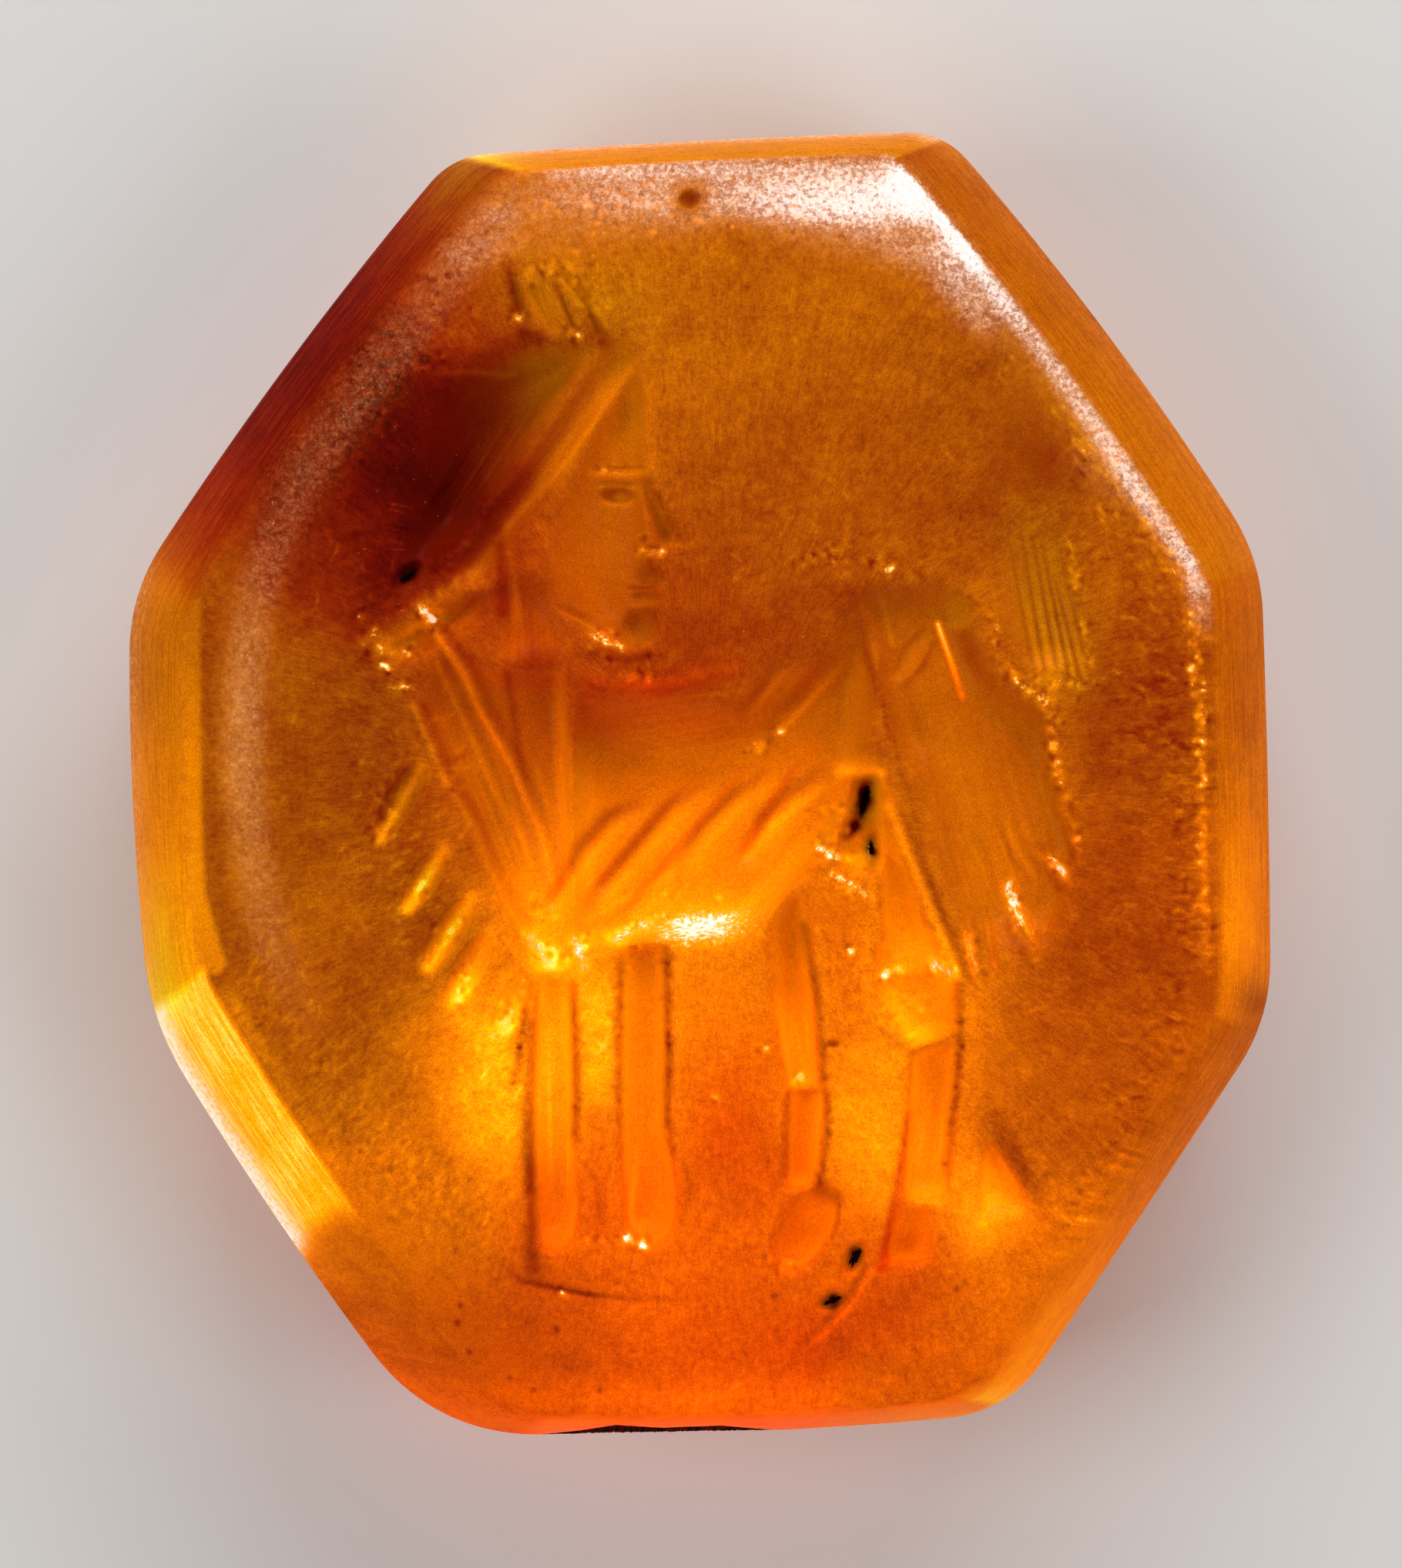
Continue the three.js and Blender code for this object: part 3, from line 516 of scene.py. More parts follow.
def rays(first, last, count, width, deep, glow=0, wander=3, reach=(0, 0.3)):
    """Fine lines side by side, from a first line to a last one, of uneven length."""
    first = np.array(first, float)
    last = np.array(last, float)
    for share in (np.arange(count) + 0.5) / count:
        line = first * (1 - share) + last * share + RANDOM.normal(0, wander, (2, 2))
        start_share, end_share = RANDOM.uniform(*reach, 2)
        start = line[0] + (line[1] - line[0]) * start_share
        end = line[1] + (line[0] - line[1]) * end_share
        strength = RANDOM.uniform(-1, 1)
        stroke([start, end], (width, width), deep * strength, wall=1, tips=(0.3, 0.3),
               glow=glow * strength, added=True)


def chips(path, count, size=3.5, dark=0.14):
    """Tiny broken places along the edge of a cut, each a shallow dent darkened with painted shade."""
    for place in scattered(path, 12, count):
        reach = size * RANDOM.uniform(0.5, 1.5)
        strength = RANDOM.uniform(0.3, 1)
        dab(tone, place, reach, -dark * strength)
        dab(depth, place, reach, 0.03 * strength)


def glints(*rows):
    """Painted highlights: patches of crushed stone that throw the light back, painted as glint light
    with painted grains round them. The rows are as for shade.
    """
    for width, strengths, *path in rows:
        path = np.reshape(path, (-1, 2))
        smear(glint_light, path, width, np.array(strengths) / 100, 3)
        smear(tone, path, width * 1.6, 0.0014 * np.array(strengths))
        grain_glints(path, width * 2.2, 4 + int(width * 0.8))


def form_hair():
    patch([(545, 498, 110), (476, 731, 130), (512, 838, 60), (592, 742, 50), (649, 664, 50),
           (800, 444, 50), (649, 448, 60)], 0.95, edge=0)
    patch([(640, 742, 60), (636, 880, 60), (744, 880, 60), (756, 800, 40), (712, 742, 40)], 0.22, edge=0)
    stroke([(826, 440), (596, 770)], (62, 62), 0.34, wall=0.9, tips=(0.12, 0.1), edge=0)
    stroke([(640, 770), (500, 858)], (55, 55), 0.4, wall=0.9, tips=(0.3, 0.2), edge=0)


def form_body():
    patch([(742, 882, 20), (744, 1240, 26), (858, 1228, 26), (982, 1212, 40), (1096, 1090, 40),
           (1140, 980, 50), (1150, 800, 40), (1104, 764, 90), (1030, 824, 110), (930, 872, 110)], 0.8)


def form_wing():
    patch([(1097, 759, 30), (1126, 861, 24), (1173, 1020, 70), (1251, 1271, 90), (1300, 1262, 70),
           (1372, 1240, 30), (1402, 1106, 26), (1376, 1015, 26), (1362, 925, 40), (1306, 872, 60),
           (1236, 742, 50)], 0.4)
    patch([(1262, 684, 60), (1303, 878, 24), (1418, 862, 60), (1386, 684, 120)], 0.16)


def form_fan():
    patch([(528, 900, 60), (684, 1290, 40), (758, 1270, 22), (744, 862, 60), (640, 846, 60),
           (578, 826, 60)], 0.5)


def form_legs():
    patch([(1034, 1142, 24), (988, 1192, 34), (992, 1263, 22), (1016, 1412, 8), (1066, 1412, 18),
           (1056, 1263, 18), (1051, 1163, 24)], 0.6)
    patch([(1142, 1036, 20), (1138, 1202, 24), (1128, 1272, 14), (1244, 1278, 24), (1204, 1193, 20)], 0.6)
    patch([(1127, 1276, 30), (1150, 1330, 30), (1180, 1366, 30), (1238, 1350, 26), (1248, 1290, 20),
           (1226, 1254, 14), (1146, 1262, 18)], 0.7)
    patch([(1180, 1358, 14), (1166, 1558, 20), (1228, 1558, 14), (1246, 1340, 14)], 0.5)
    patch([(1160, 1553, 10), (1144, 1640, 24), (1214, 1640, 40), (1224, 1552, 30)], 0.5)
    patch([(1022, 1408, 12), (1018, 1540, 16), (1060, 1540, 12), (1073, 1406, 8)], 0.5)
    patch([(698, 1261, 12), (690, 1470, 16), (694, 1612, 22), (752, 1612, 14), (748, 1258, 10)], 0.5)
    patch([(806, 1223, 12), (804, 1480, 14), (816, 1604, 22), (868, 1604, 20), (882, 1540, 14),
           (868, 1470, 12), (868, 1220, 10)], 0.5)
    patch([(1100, 998, 20), (1086, 1060, 20), (1082, 1130, 30), (1148, 1136, 20), (1154, 1060, 20),
           (1152, 998, 20)], 0.86, edge=0.04)
    # The wedge's floor gets painted glow
    patch([(1274, 1456, 20), (1256, 1600, 60), (1348, 1570, 14)], 0.42, tilt=(0.3, 0.1), glow=0.06, edge=0)
    boat([(722, 1490), (722, 1620)], 62, 0.54)
    boat([(850, 1496), (846, 1612)], 62, 0.54)
    boat([(1078, 1536), (1014, 1644)], 62, 0.54)


# Painted light and shade on the hair: the dark tone bands are painted shade on its walls and the light ones
# painted glow on its ridges, with its darker colour to the left; the glints are painted highlights.
def engrave_hair():
    shade(tone,
          [130, (-10, -18, -8), 640, 540, 570, 640, 530, 760],
          [30, (-4, -14, -10), 624, 452, 700, 444, 784, 446],
          [60, (-10, -10, -6), 730, 500, 640, 640, 580, 740],
          [90, (-10, -12, -6), 540, 480, 500, 560, 480, 640],
          [12, (6, 10, 8), 826, 474, 740, 600, 650, 700],
          [60, (-8, -12, -10), 690, 640, 664, 740, 640, 800],
          [8, (0, 12, 4), 560, 490, 610, 486, 668, 490],
          [34, (6, 26, 30), 624, 742, 566, 792, 506, 838],
          [10, (-4, -10, -4), 630, 770, 590, 808, 548, 850],
          [60, (-6, -6), 700, 760, 700, 880],
          [9, (2, 10, 6), 662, 700, 672, 780, 668, 860],
          [14, (-8, -8), 650, 690, 656, 800])
    shade(olive, [130, (50, 40, 20), 700, 480, 600, 640, 560, 740])
    shade(red, [90, (20, 20), 690, 700, 690, 870])
    rays([(730, 480), (590, 690)], [(640, 510), (520, 720)], 20, 6, 0.03, 0.05)
    rays([(790, 470), (640, 690)], [(820, 500), (650, 740)], 12, 4, 0.02, 0.05)
    rays([(656, 700), (664, 880)], [(728, 760), (742, 880)], 14, 5, 0.03, 0.07)
    rays([(490, 640), (548, 650)], [(500, 720), (540, 726)], 7, 3, 0.0, 0.3)
    grain_glints([(622, 744), (566, 792), (508, 838)], 40, 60, 0.3, 0.06)
    grain_glints([(466, 790), (500, 846), (540, 852)], 20, 24, 0.3, 0.08)
    glints(
        [12, (70, 90), 550, 791, 566, 806],
        [10, (20, 40, 20), 480, 812, 500, 848, 540, 850],
        [6, (60, 60), 508, 895, 536, 893],
        [8, (60, 50), 500, 866, 510, 868],
    )


# The blades' glow paints light on some blades and shade on others; the glints are painted highlights.
def engrave_crown():
    blades_px = [
        [(662, 352), (682, 434), 20, 0, -0.16],
        [(684, 366), (726, 446), 28, -1, 0.07],
        [(722, 372), (750, 442), 10, 1, -0.12],
        [(722, 350), (768, 406), 24, -1, 0.06],
        [(757, 388), (782, 448), 18, 0, -0.12],
    ]
    for start, end, width, steep, glow in blades_px:
        stroke([start, end], (width * 0.7, width), 0.14, steep=steep, wall=0.9, tips=(0.4, 0.25),
               added=True, edge=0)
        smear(tone, [start, end], width, (glow * 0.6, glow))
    rays([(690, 360), (716, 446)], [(740, 352), (782, 440)], 12, 4, 0.03, 0.08)
    shade(olive, [110, (50, 50), 680, 380, 800, 400])
    grain_glints([(668, 360), (720, 350), (776, 390)], 30, 50, 0.35)
    glints(
        [6, (40, 50), 674, 418, 680, 428],
        [5, (40, 40), 744, 438, 752, 441],
    )


# A plain profile of the builder's own, drawn in the head's frame: forward from the nape and
# up from the chin, with the eye halfway up, the nose's base a quarter, and the mouth between
HEAD_CORNER_PX = (530, 848)
HEAD_SPAN_PX = (350, 400)


def head_px(places):
    return [(HEAD_CORNER_PX[0] + forward * HEAD_SPAN_PX[0], HEAD_CORNER_PX[1] - up * HEAD_SPAN_PX[1])
            for forward, up in places]


def form_face():
    mask = head_px([(0.56, 0.66), (0.52, 0.2), (0.64, 0.02), (0.84, 0.02), (0.9, 0.2), (0.9, 0.5),
                    (0.89, 0.84), (0.8, 0.98)])
    patch([(*place, wall) for place, wall in zip(mask, (70, 60, 40, 30, 22, 22, 30, 60))], 0.4)
    boat(head_px([(0.68, 0.56), (0.7, 0.06)]), 125, 0.14, power=1, added=True)
    boat(head_px([(0.79, 0.96), (0.82, 0.58)]), 70, 0.1, power=1, added=True)
    stroke(head_px([(0.86, 0.57), (0.96, 0.33)]), (14, 40), 0.46, steep=1, wall=0.5)
    dimple(head_px([(0.845, 0.085)])[0], (28, 26), 0.5)
    boat(head_px([(0.8, 0.235), (0.94, 0.235)]), 22, 0.5)
    boat(head_px([(0.8, 0.175), (0.92, 0.175)]), 22, 0.5)


# The glow of these cuts paints light and shade on the face: painted shadow round the eye, a painted glint in
# it, painted light on brow, nose and chin, and painted shade between the lips; the glints are painted
# highlights.
def engrave_face():
    stroke(head_px([(0.66, 0.585), (0.9, 0.575)]), (8, 14), 0.1, steep=1, wall=0.6, tips=(0.3, 0.1),
           glow=0.1, added=True)
    boat(head_px([(0.71, 0.505), (0.85, 0.5)]), 22, 0.16, glow=-0.1, added=True)
    boat(head_px([(0.755, 0.5), (0.815, 0.5)]), 14, 0.06, glow=0.14, added=True)
    stroke(head_px([(0.69, 0.54), (0.86, 0.532)]), (6, 7), 0.1, wall=1, tips=(0.3, 0.2), glow=0.1, added=True)
    stroke(head_px([(0.84, 0.32), (0.97, 0.32)]), (14, 10), 0.16, steep=1, wall=0.6, glow=0.12, added=True)
    stroke(head_px([(0.8, 0.206), (0.92, 0.206)]), (6, 5), 0.1, wall=1, tips=(0.3, 0.1), glow=-0.14,
           added=True)
    stroke(head_px([(0.54, 0.16), (0.82, 0.015)]), (16, 18), 0.14, steep=-1, wall=0.7, tips=(0.3, 0.3),
           glow=0.06, added=True)
    smear(tone, head_px([(0.89, 0.84), (0.9, 0.6)]), 22, (0.06, 0.1))
    glints(
        [6, (10, 70, 30), *np.ravel(head_px([(0.68, 0.585), (0.86, 0.58)]))],
        [5, (30, 60), *np.ravel(head_px([(0.86, 0.325), (0.95, 0.325)]))],
        [12, (80, 50), *np.ravel(head_px([(0.7, 0.05), (0.8, 0.01)]))],
    )


# Painted light and shade on the body: the dark tone bands are painted shade on the upper walls of its hollow,
# the light ones painted glow; the glints are painted highlights on its lower edge.
def engrave_body():
    shade(red,
          [36, (35, 70, 40), 770, 890, 860, 892, 950, 872],
          [110, (20, 15, 5), 780, 920, 900, 920, 1000, 890])
    shade(tone,
          [22, (-10, -14, -6), 757, 851, 810, 858, 862, 852],
          [18, (6, 14, 8), 776, 886, 860, 888, 950, 868],
          [100, (-6, -6, -2), 780, 930, 900, 930, 1030, 890],
          [60, (0, 2, 0), 760, 1150, 860, 1180, 980, 1150],
          [70, (-6, -10, -8), 900, 820, 980, 820, 1060, 790],
          [40, (-4, -8, -6), 860, 880, 960, 870, 1050, 840],
          [60, (-6, -10), 1060, 1050, 1066, 1110],
          [24, (10, 12, 6), 1087, 996, 1110, 994, 1135, 996],
          [90, (-5, -5, 0), 790, 960, 820, 1000, 860, 1010])
    rays([(770, 905), (1000, 880)], [(770, 1040), (1040, 990)], 16, 6, 0.02, 0.04)
    glints(
        [44, (50, 120, 110, 40), 852, 1206, 890, 1204, 930, 1200, 980, 1188],
        [13, (90, 50), 800, 1218, 836, 1200],
        [16, (80, 60), 690, 1214, 714, 1252],
        [14, (90, 80), 748, 1220, 761, 1252],
        [6, (60, 60), 980, 968, 986, 969],
        [4, (70, 70), 1012, 951, 1016, 952],
    )
    grain_glints([(770, 866), (860, 880)], 26, 26, 0.3)


# The crescents are painted shade on one wall of each stripe, with painted light beside them and a redder tone
# in the painted shade; the thin lines are painted light and shade.
def engrave_stripes():
    stripes_px = [
        [(836, 1030), (712, 1194), 44],
        [(920, 1008), (774, 1176), 50],
        [(1010, 978), (812, 1208), 52],
        [(1060, 986), (966, 1130), 50],
    ]
    for start, end, width in stripes_px:
        stroke([start, end], (width, width), 0.14, steep=-1, wall=0.6, tips=(0.3, 0.15), glow=0.03,
               added=True)
    crescents_px = [
        [18, (-3, -20, -20, -5), 721, 1151, 756, 1096, 790, 1058, 832, 1041],
        [17, (-3, -18, -20, -16, -4), 759, 1179, 783, 1144, 825, 1096, 866, 1048, 908, 1017],
        [14, (-3, -17, -19, -5), 877, 1123, 908, 1075, 949, 1034, 990, 1003],
        [20, (-3, -18, -20, -5), 973, 1096, 990, 1061, 1025, 1027, 1066, 1001],
    ]
    shade(tone, *crescents_px)
    for width, strengths, *path in crescents_px:
        path = np.reshape(path, (-1, 2))
        smear(tone, path + (13, 14), width, -0.0035 * np.array(strengths))
        smear(red, path, width, -0.012 * np.array(strengths))
    shade(tone,
          [10, (3, 10, 4), 1018, 872, 996, 900, 973, 930],
          [18, (-3, -8, -3), 1004, 868, 982, 896, 960, 926],
          [9, (3, 14, 10), 1094, 861, 1050, 912, 1011, 951],
          [20, (-3, -10, -6), 1076, 856, 1036, 900, 996, 942],
          [12, (3, 7, 3), 1072, 1020, 1004, 1068, 957, 1130],
          [10, (2, 8, 4), 877, 1128, 820, 1164, 764, 1192])


# Painted light on the fan's ridges, with painted shade beside each; the tone bands are painted light and
# shade.
def engrave_fan():
    ridges_px = [
        [11, 0.22, (570, 827), (604, 875), (628, 930), (666, 999), (708, 1096), (718, 1144)],
        [9, 0.1, (572, 865), (604, 937), (639, 1020), (680, 1096), (690, 1144)],
        [9, 0.14, (542, 923), (577, 1006), (618, 1075), (645, 1144), (680, 1206)],
        [7, 0.05, (700, 1000), (716, 1070), (736, 1130)],
    ]
    for width, glow, *path in ridges_px:
        strengths = np.linspace(glow, glow * 0.35, len(path))
        smear(tone, path, width, strengths)
        smear(depth, path, width, -strengths * 0.5)
        smear(tone, np.array(path) + (width * 1.3, -width * 0.5), width * 1.3, -strengths * 0.5)
    shade(tone,
          [70, (-1, -6, -2), 700, 900, 708, 1000, 722, 1100],
          [12, (-12, -8, -2), 661, 878, 676, 980, 700, 1080],
          [18, (6, 10, 2), 729, 872, 731, 940, 736, 1020],
          [26, (-4, -10, -4), 668, 862, 700, 857, 734, 862],
          [60, (2, 8, 10), 700, 1130, 712, 1190, 718, 1250],
          [22, (4, 7, 5), 728, 880, 730, 1000, 734, 1110])
    rays([(560, 900), (700, 1230)], [(640, 880), (724, 1180)], 16, 7, 0.03, 0.05)
    rays([(660, 880), (726, 1150)], [(740, 880), (746, 1120)], 10, 5, 0.02, 0.04)
    grain_glints([(690, 1150), (720, 1250)], 30, 14, 0.3)


# Each feather is a bright strip of painted glow with painted shade on both sides; the olive is the stone's
# own colour.
def engrave_tail_feathers():
    feathers_px = [
        [(552, 992), (497, 1089), 14, 0.36],
        [(578, 1104), (532, 1179), 18, 0.56],
        [(614, 1166), (559, 1254), 22, 0.5],
        [(637, 1212), (590, 1296), 26, 0.24],
        [(692, 1261), (650, 1338), 28, 0.04],
    ]
    for start, end, width, glow in feathers_px:
        boat([start, end], 40, 0.26, edge=0)
        start, end = np.array(start, float), np.array(end, float)
        across = np.array([end[1] - start[1], start[0] - end[0]]) / np.linalg.norm(end - start)
        middle = (start + end) / 2
        smear(tone, [start, middle, end], width, (glow * 0.6, glow, glow * 0.8))
        for side in (-1, 1):
            beside = across * side * width * 1.3
            smear(tone, [start + beside, middle + beside, end + beside], width, (-0.02, -0.04, -0.02))
        grain_glints([middle, end], width * 1.4, 16, 0.4)
    shade(tone,
          [110, (-2, -5, -5, 0), 500, 960, 510, 1080, 545, 1190, 600, 1300],
          [80, (-6, -8, -6), 470, 1240, 490, 1330, 510, 1420],
          [60, (-8, -12, -8), 570, 1330, 545, 1410, 575, 1500])
    shade(olive, [110, (30, 30, 30), 500, 900, 500, 1040, 550, 1180])
    grain_glints([(480, 900), (500, 1060), (560, 1180)], 90, 40, 0.25, 0.05)
    grain_glints([(440, 1430), (520, 1520), (620, 1580)], 90, 150, 0.16, 0.1)


# Painted light and shade on the wing: dark tone bands are painted shade on its walls, the feather tips get
# painted glow with painted shade beside them, and the glints are painted highlights.
def engrave_wing():
    rays([(1140, 780), (1250, 1250)], [(1330, 930), (1396, 1110)], 18, 14, 0.03, 0.03, wander=4,
         reach=(0, 0.35))
    rays([(1180, 1040), (1262, 1262)], [(1370, 1040), (1392, 1140)], 16, 9, 0.04, 0.05, wander=4)
    shade(tone,
          [10, (-4, -6, -4), 1122, 850, 1173, 1020, 1240, 1262],
          [14, (-5, -6, -3), 1104, 766, 1126, 861, 1150, 940],
          [30, (-1, -2, -1), 1060, 760, 1130, 768, 1196, 784],
          [60, (10, 12, 10, 5), 1366, 880, 1374, 950, 1380, 1020, 1392, 1080],
          [90, (-5, -5), 1260, 660, 1270, 710],
          [7, (4, 12), 1143, 782, 1157, 840],
          [24, (3, 8, 3), 1202, 822, 1182, 850, 1160, 882],
          [8, (-4, -12, -4), 1212, 832, 1196, 866, 1172, 892],
          [26, (-6, -10, -4), 1250, 830, 1260, 860, 1280, 890],
          [8, (-4, -10, -4), 1290, 1060, 1309, 1110, 1334, 1147],
          [7, (2, 8, 3), 1300, 1056, 1320, 1106, 1342, 1140],
          [7, (70, 50, 20), 1215, 812, 1232, 860, 1247, 908])
    boat([(1202, 818), (1160, 884)], 24, 0.1, added=True, edge=0)
    stroke([(1215, 812), (1247, 908)], (8, 5), 0.1, wall=1, added=True, edge=0)
    shade(red, [12, (50, 50), 1215, 812, 1247, 908])
    dimple((1240, 796), (21, 21), 0.12, glow=0.03, added=True, edge=0.1)
    shade(olive, [44, (50, 50), 1238, 790, 1240, 804])
    tips_px = [
        [(1246, 1180), (1262, 1272), 16, 0.14],
        [(1276, 1170), (1290, 1262), 18, 0.08],
        [(1296, 1130), (1346, 1232), 26, 0.16],
        [(1340, 1090), (1392, 1150), 22, 0.1],
        [(1376, 1040), (1402, 1110), 16, 0.08],
    ]
    for start, end, width, glow in tips_px:
        stroke([start, end], (width, width * 0.4), 0.14, steep=-1, wall=0.6, tips=(0.4, 0.2), added=True,
               glow=glow, edge=0)
        side = np.array([-width * 0.9, width * 0.1])
        smear(tone, [np.array(start) + side, np.array(end) + side], width * 0.6, (-0.02, -0.1))
    glints(
        [17, (90, 90, 20), 1306, 1150, 1317, 1186, 1340, 1218],
        [10, (60, 80), 1360, 1112, 1378, 1134],
        [6, (50, 70), 1250, 1206, 1264, 1258],
        [9, (25, 40), 1306, 884, 1352, 912],
        [7, (30, 30), 1074, 722, 1080, 723],
        [6, (60, 60), 1143, 741, 1158, 742],
    )
    grain_glints([(1352, 904), (1365, 960), (1371, 1010), (1396, 1097)], 12, 60, 0.6)
    grain_glints([(1271, 780), (1290, 841), (1315, 879), (1352, 912)], 14, 40, 0.4)
    grain_glints([(1040, 724), (1110, 730), (1200, 745)], 34, 50, 0.3)


# The comb's lines are painted shade in its grooves, with painted light beside them.
def engrave_comb():
    shade(tone, [84, (2, 7), 1340, 712, 1376, 860], sharpness=3)
    shade(olive, [96, (50, 70, 60), 1340, 700, 1370, 800, 1386, 870])
    lines_px = [
        [(1306, 704), (1338, 872), 0.08],
        [(1322, 698), (1352, 872), 0.12],
        [(1336, 698), (1367, 866), 0.15],
        [(1349, 712), (1383, 880), 0.17],
        [(1364, 750), (1397, 884), 0.15],
        [(1376, 742), (1406, 866), 0.08],
    ]
    for top, low, strength in lines_px:
        stroke([top, low], (5, 7), 0.04, wall=1, tips=(0.35, 0.1), added=True, edge=0)
        middle = (np.array(top) + np.array(low)) / 2
        smear(tone, [top, middle, low], 5, (-strength * 0.3, -strength, -strength))
        smear(tone, [middle + (8, 0), np.array(low) + (8, 0)], 5, (0.03, 0.08))
    grain_glints([(1378, 700), (1398, 780), (1412, 866)], 12, 36, 0.5)
    grain_glints([(1312, 884), (1414, 890)], 10, 26, 0.5)


# Painted light and shade round the shoulder's pits: a painted highlight on the bar above and painted shade
# beside the pits; the glints are painted highlights.
def engrave_shoulder():
    shade(tone,
          [16, (16, 20), 1090, 1002, 1140, 1002],
          [10, (16, 8), 1142, 1004, 1154, 1040],
          [13, (-8, -12, -10), 1130, 1016, 1122, 1040, 1116, 1074],
          [16, (-16, -12, -4), 1110, 1060, 1098, 1078, 1092, 1096],
          [12, (-20, -14), 1132, 1086, 1130, 1126],
          [34, (8, 10, 6), 1110, 1090, 1106, 1110, 1112, 1136],
          [44, (6, 10, 6), 1150, 1050, 1156, 1110, 1162, 1160],
          [60, (-6, -6), 1092, 1190, 1104, 1330])
    glints(
        [12, (80, 60), 1062, 1102, 1084, 1112],
        [13, (70, 70, 50), 1078, 1134, 1100, 1146, 1122, 1158],
        [7, (40, 40), 1128, 1100, 1126, 1112],
        [6, (50, 50), 1092, 1232, 1104, 1230],
    )
    grain_glints([(1086, 1060), (1080, 1100), (1110, 1150)], 40, 46, 0.4)
    chips([(1124, 1020), (1112, 1070), (1096, 1090)], 22, 5, 0.24)
    rays([(1080, 1180), (1084, 1250)], [(1112, 1180), (1110, 1260)], 7, 7, 0.03, 0.06)
    hairs([(1090, 1200), (1110, 1330)], 50, 60, 70, 0.1)
    shade(red, [60, (15, 15), 1092, 1190, 1104, 1330])


# Dark tone bands are painted shade on the walls of the leg's cuts and light ones painted glow on its floors;
# the glints are painted highlights.
def engrave_hind_leg():
    shade(tone,
          [12, (12, 20, 16), 1150, 1044, 1196, 1160, 1242, 1268],
          [12, (-10, -14, -12), 1164, 1044, 1210, 1160, 1256, 1268],
          [60, (6, 14), 1156, 1120, 1184, 1230],
          [60, (8, 10), 1160, 1290, 1184, 1330],
          [34, (-10, -10), 1236, 1296, 1226, 1340],
          [10, (-6, -14, -6), 1136, 1330, 1180, 1364, 1226, 1346],
          [13, (-14, -20, -20, -16), 1243, 1277, 1244, 1357, 1233, 1457, 1226, 1520],
          [9, (-10, -12, -12, -6), 1177, 1443, 1167, 1510, 1153, 1570, 1143, 1630],
          [8, (4, 10, 3), 1172, 1560, 1196, 1556, 1222, 1558],
          [30, (-1, 2), 1212, 1400, 1204, 1540])
    shade(red,
          [16, (30, 50, 50), 1177, 1443, 1162, 1560, 1143, 1640],
          [60, (15, 20), 1206, 1380, 1196, 1540])
    glints(
        [8, (60, 20), 1144, 1264, 1180, 1252],
        [13, (80, 70), 1208, 1246, 1230, 1262],
        [4, (80, 80), 1146, 1265, 1148, 1266],
    )
    grain_glints([(1140, 1290), (1180, 1320)], 60, 90, 0.12, 0.06)
    chips([(1244, 1290), (1240, 1400), (1228, 1510)], 60, 2.6, 0.16)
    rays([(1190, 1370), (1176, 1550)], [(1236, 1370), (1216, 1550)], 9, 5, 0.02, 0.05)
    rays([(1168, 1566), (1150, 1640)], [(1218, 1566), (1206, 1640)], 7, 6, 0.02, 0.04)


# Dark tone bands are painted shade on the walls of the leg's cuts and light ones painted glow on its floors;
# the glints are painted highlights.
def engrave_third_leg():
    shade(tone,
          [72, (-4, -5, -3), 1024, 1160, 1020, 1210, 1016, 1270],
          [12, (-20, -20, -16), 1043, 1200, 1060, 1290, 1068, 1400],
          [40, (2, 14, 10), 1022, 1290, 1030, 1350, 1038, 1400],
          [8, (-8, -12, -10), 1022, 1415, 1044, 1416, 1066, 1413],
          [11, (-20, -24, -24), 1072, 1418, 1072, 1477, 1063, 1530],
          [10, (-10, -8), 1020, 1420, 1018, 1520],
          [24, (-22, -20), 1062, 1538, 1084, 1550],
          [6, (-14, -14, -4), 1088, 1560, 1086, 1585, 1076, 1612],
          [26, (6, 8), 1056, 1570, 1034, 1620],
          [90, (4, 8, 4), 1110, 1380, 1130, 1450, 1120, 1520])
    rays([(1026, 1420), (1024, 1530)], [(1060, 1420), (1054, 1530)], 8, 4, 0.03, 0.08)
    rays([(1060, 1560), (1012, 1630)], [(1084, 1572), (1036, 1644)], 8, 4, 0.03, 0.08)
    rays([(1000, 1290), (1022, 1400)], [(1046, 1290), (1060, 1400)], 8, 5, 0.02, 0.05)
    dimple((1080, 1352), (9, 5), 0.12, glow=-0.3, added=True)
    chips([(1062, 1320), (1070, 1352), (1070, 1420)], 12, 3.5, 0.16)
    chips([(1074, 1420), (1074, 1480), (1062, 1530)], 14, 3, 0.16)
    grain_glints([(994, 1634), (1036, 1642)], 16, 18, 0.4)
    glints(
        [5, (70, 70), 1036, 1396, 1039, 1399],
        [4, (60, 60), 992, 1356, 994, 1358],
        [4, (50, 50), 926, 1420, 928, 1422],
    )


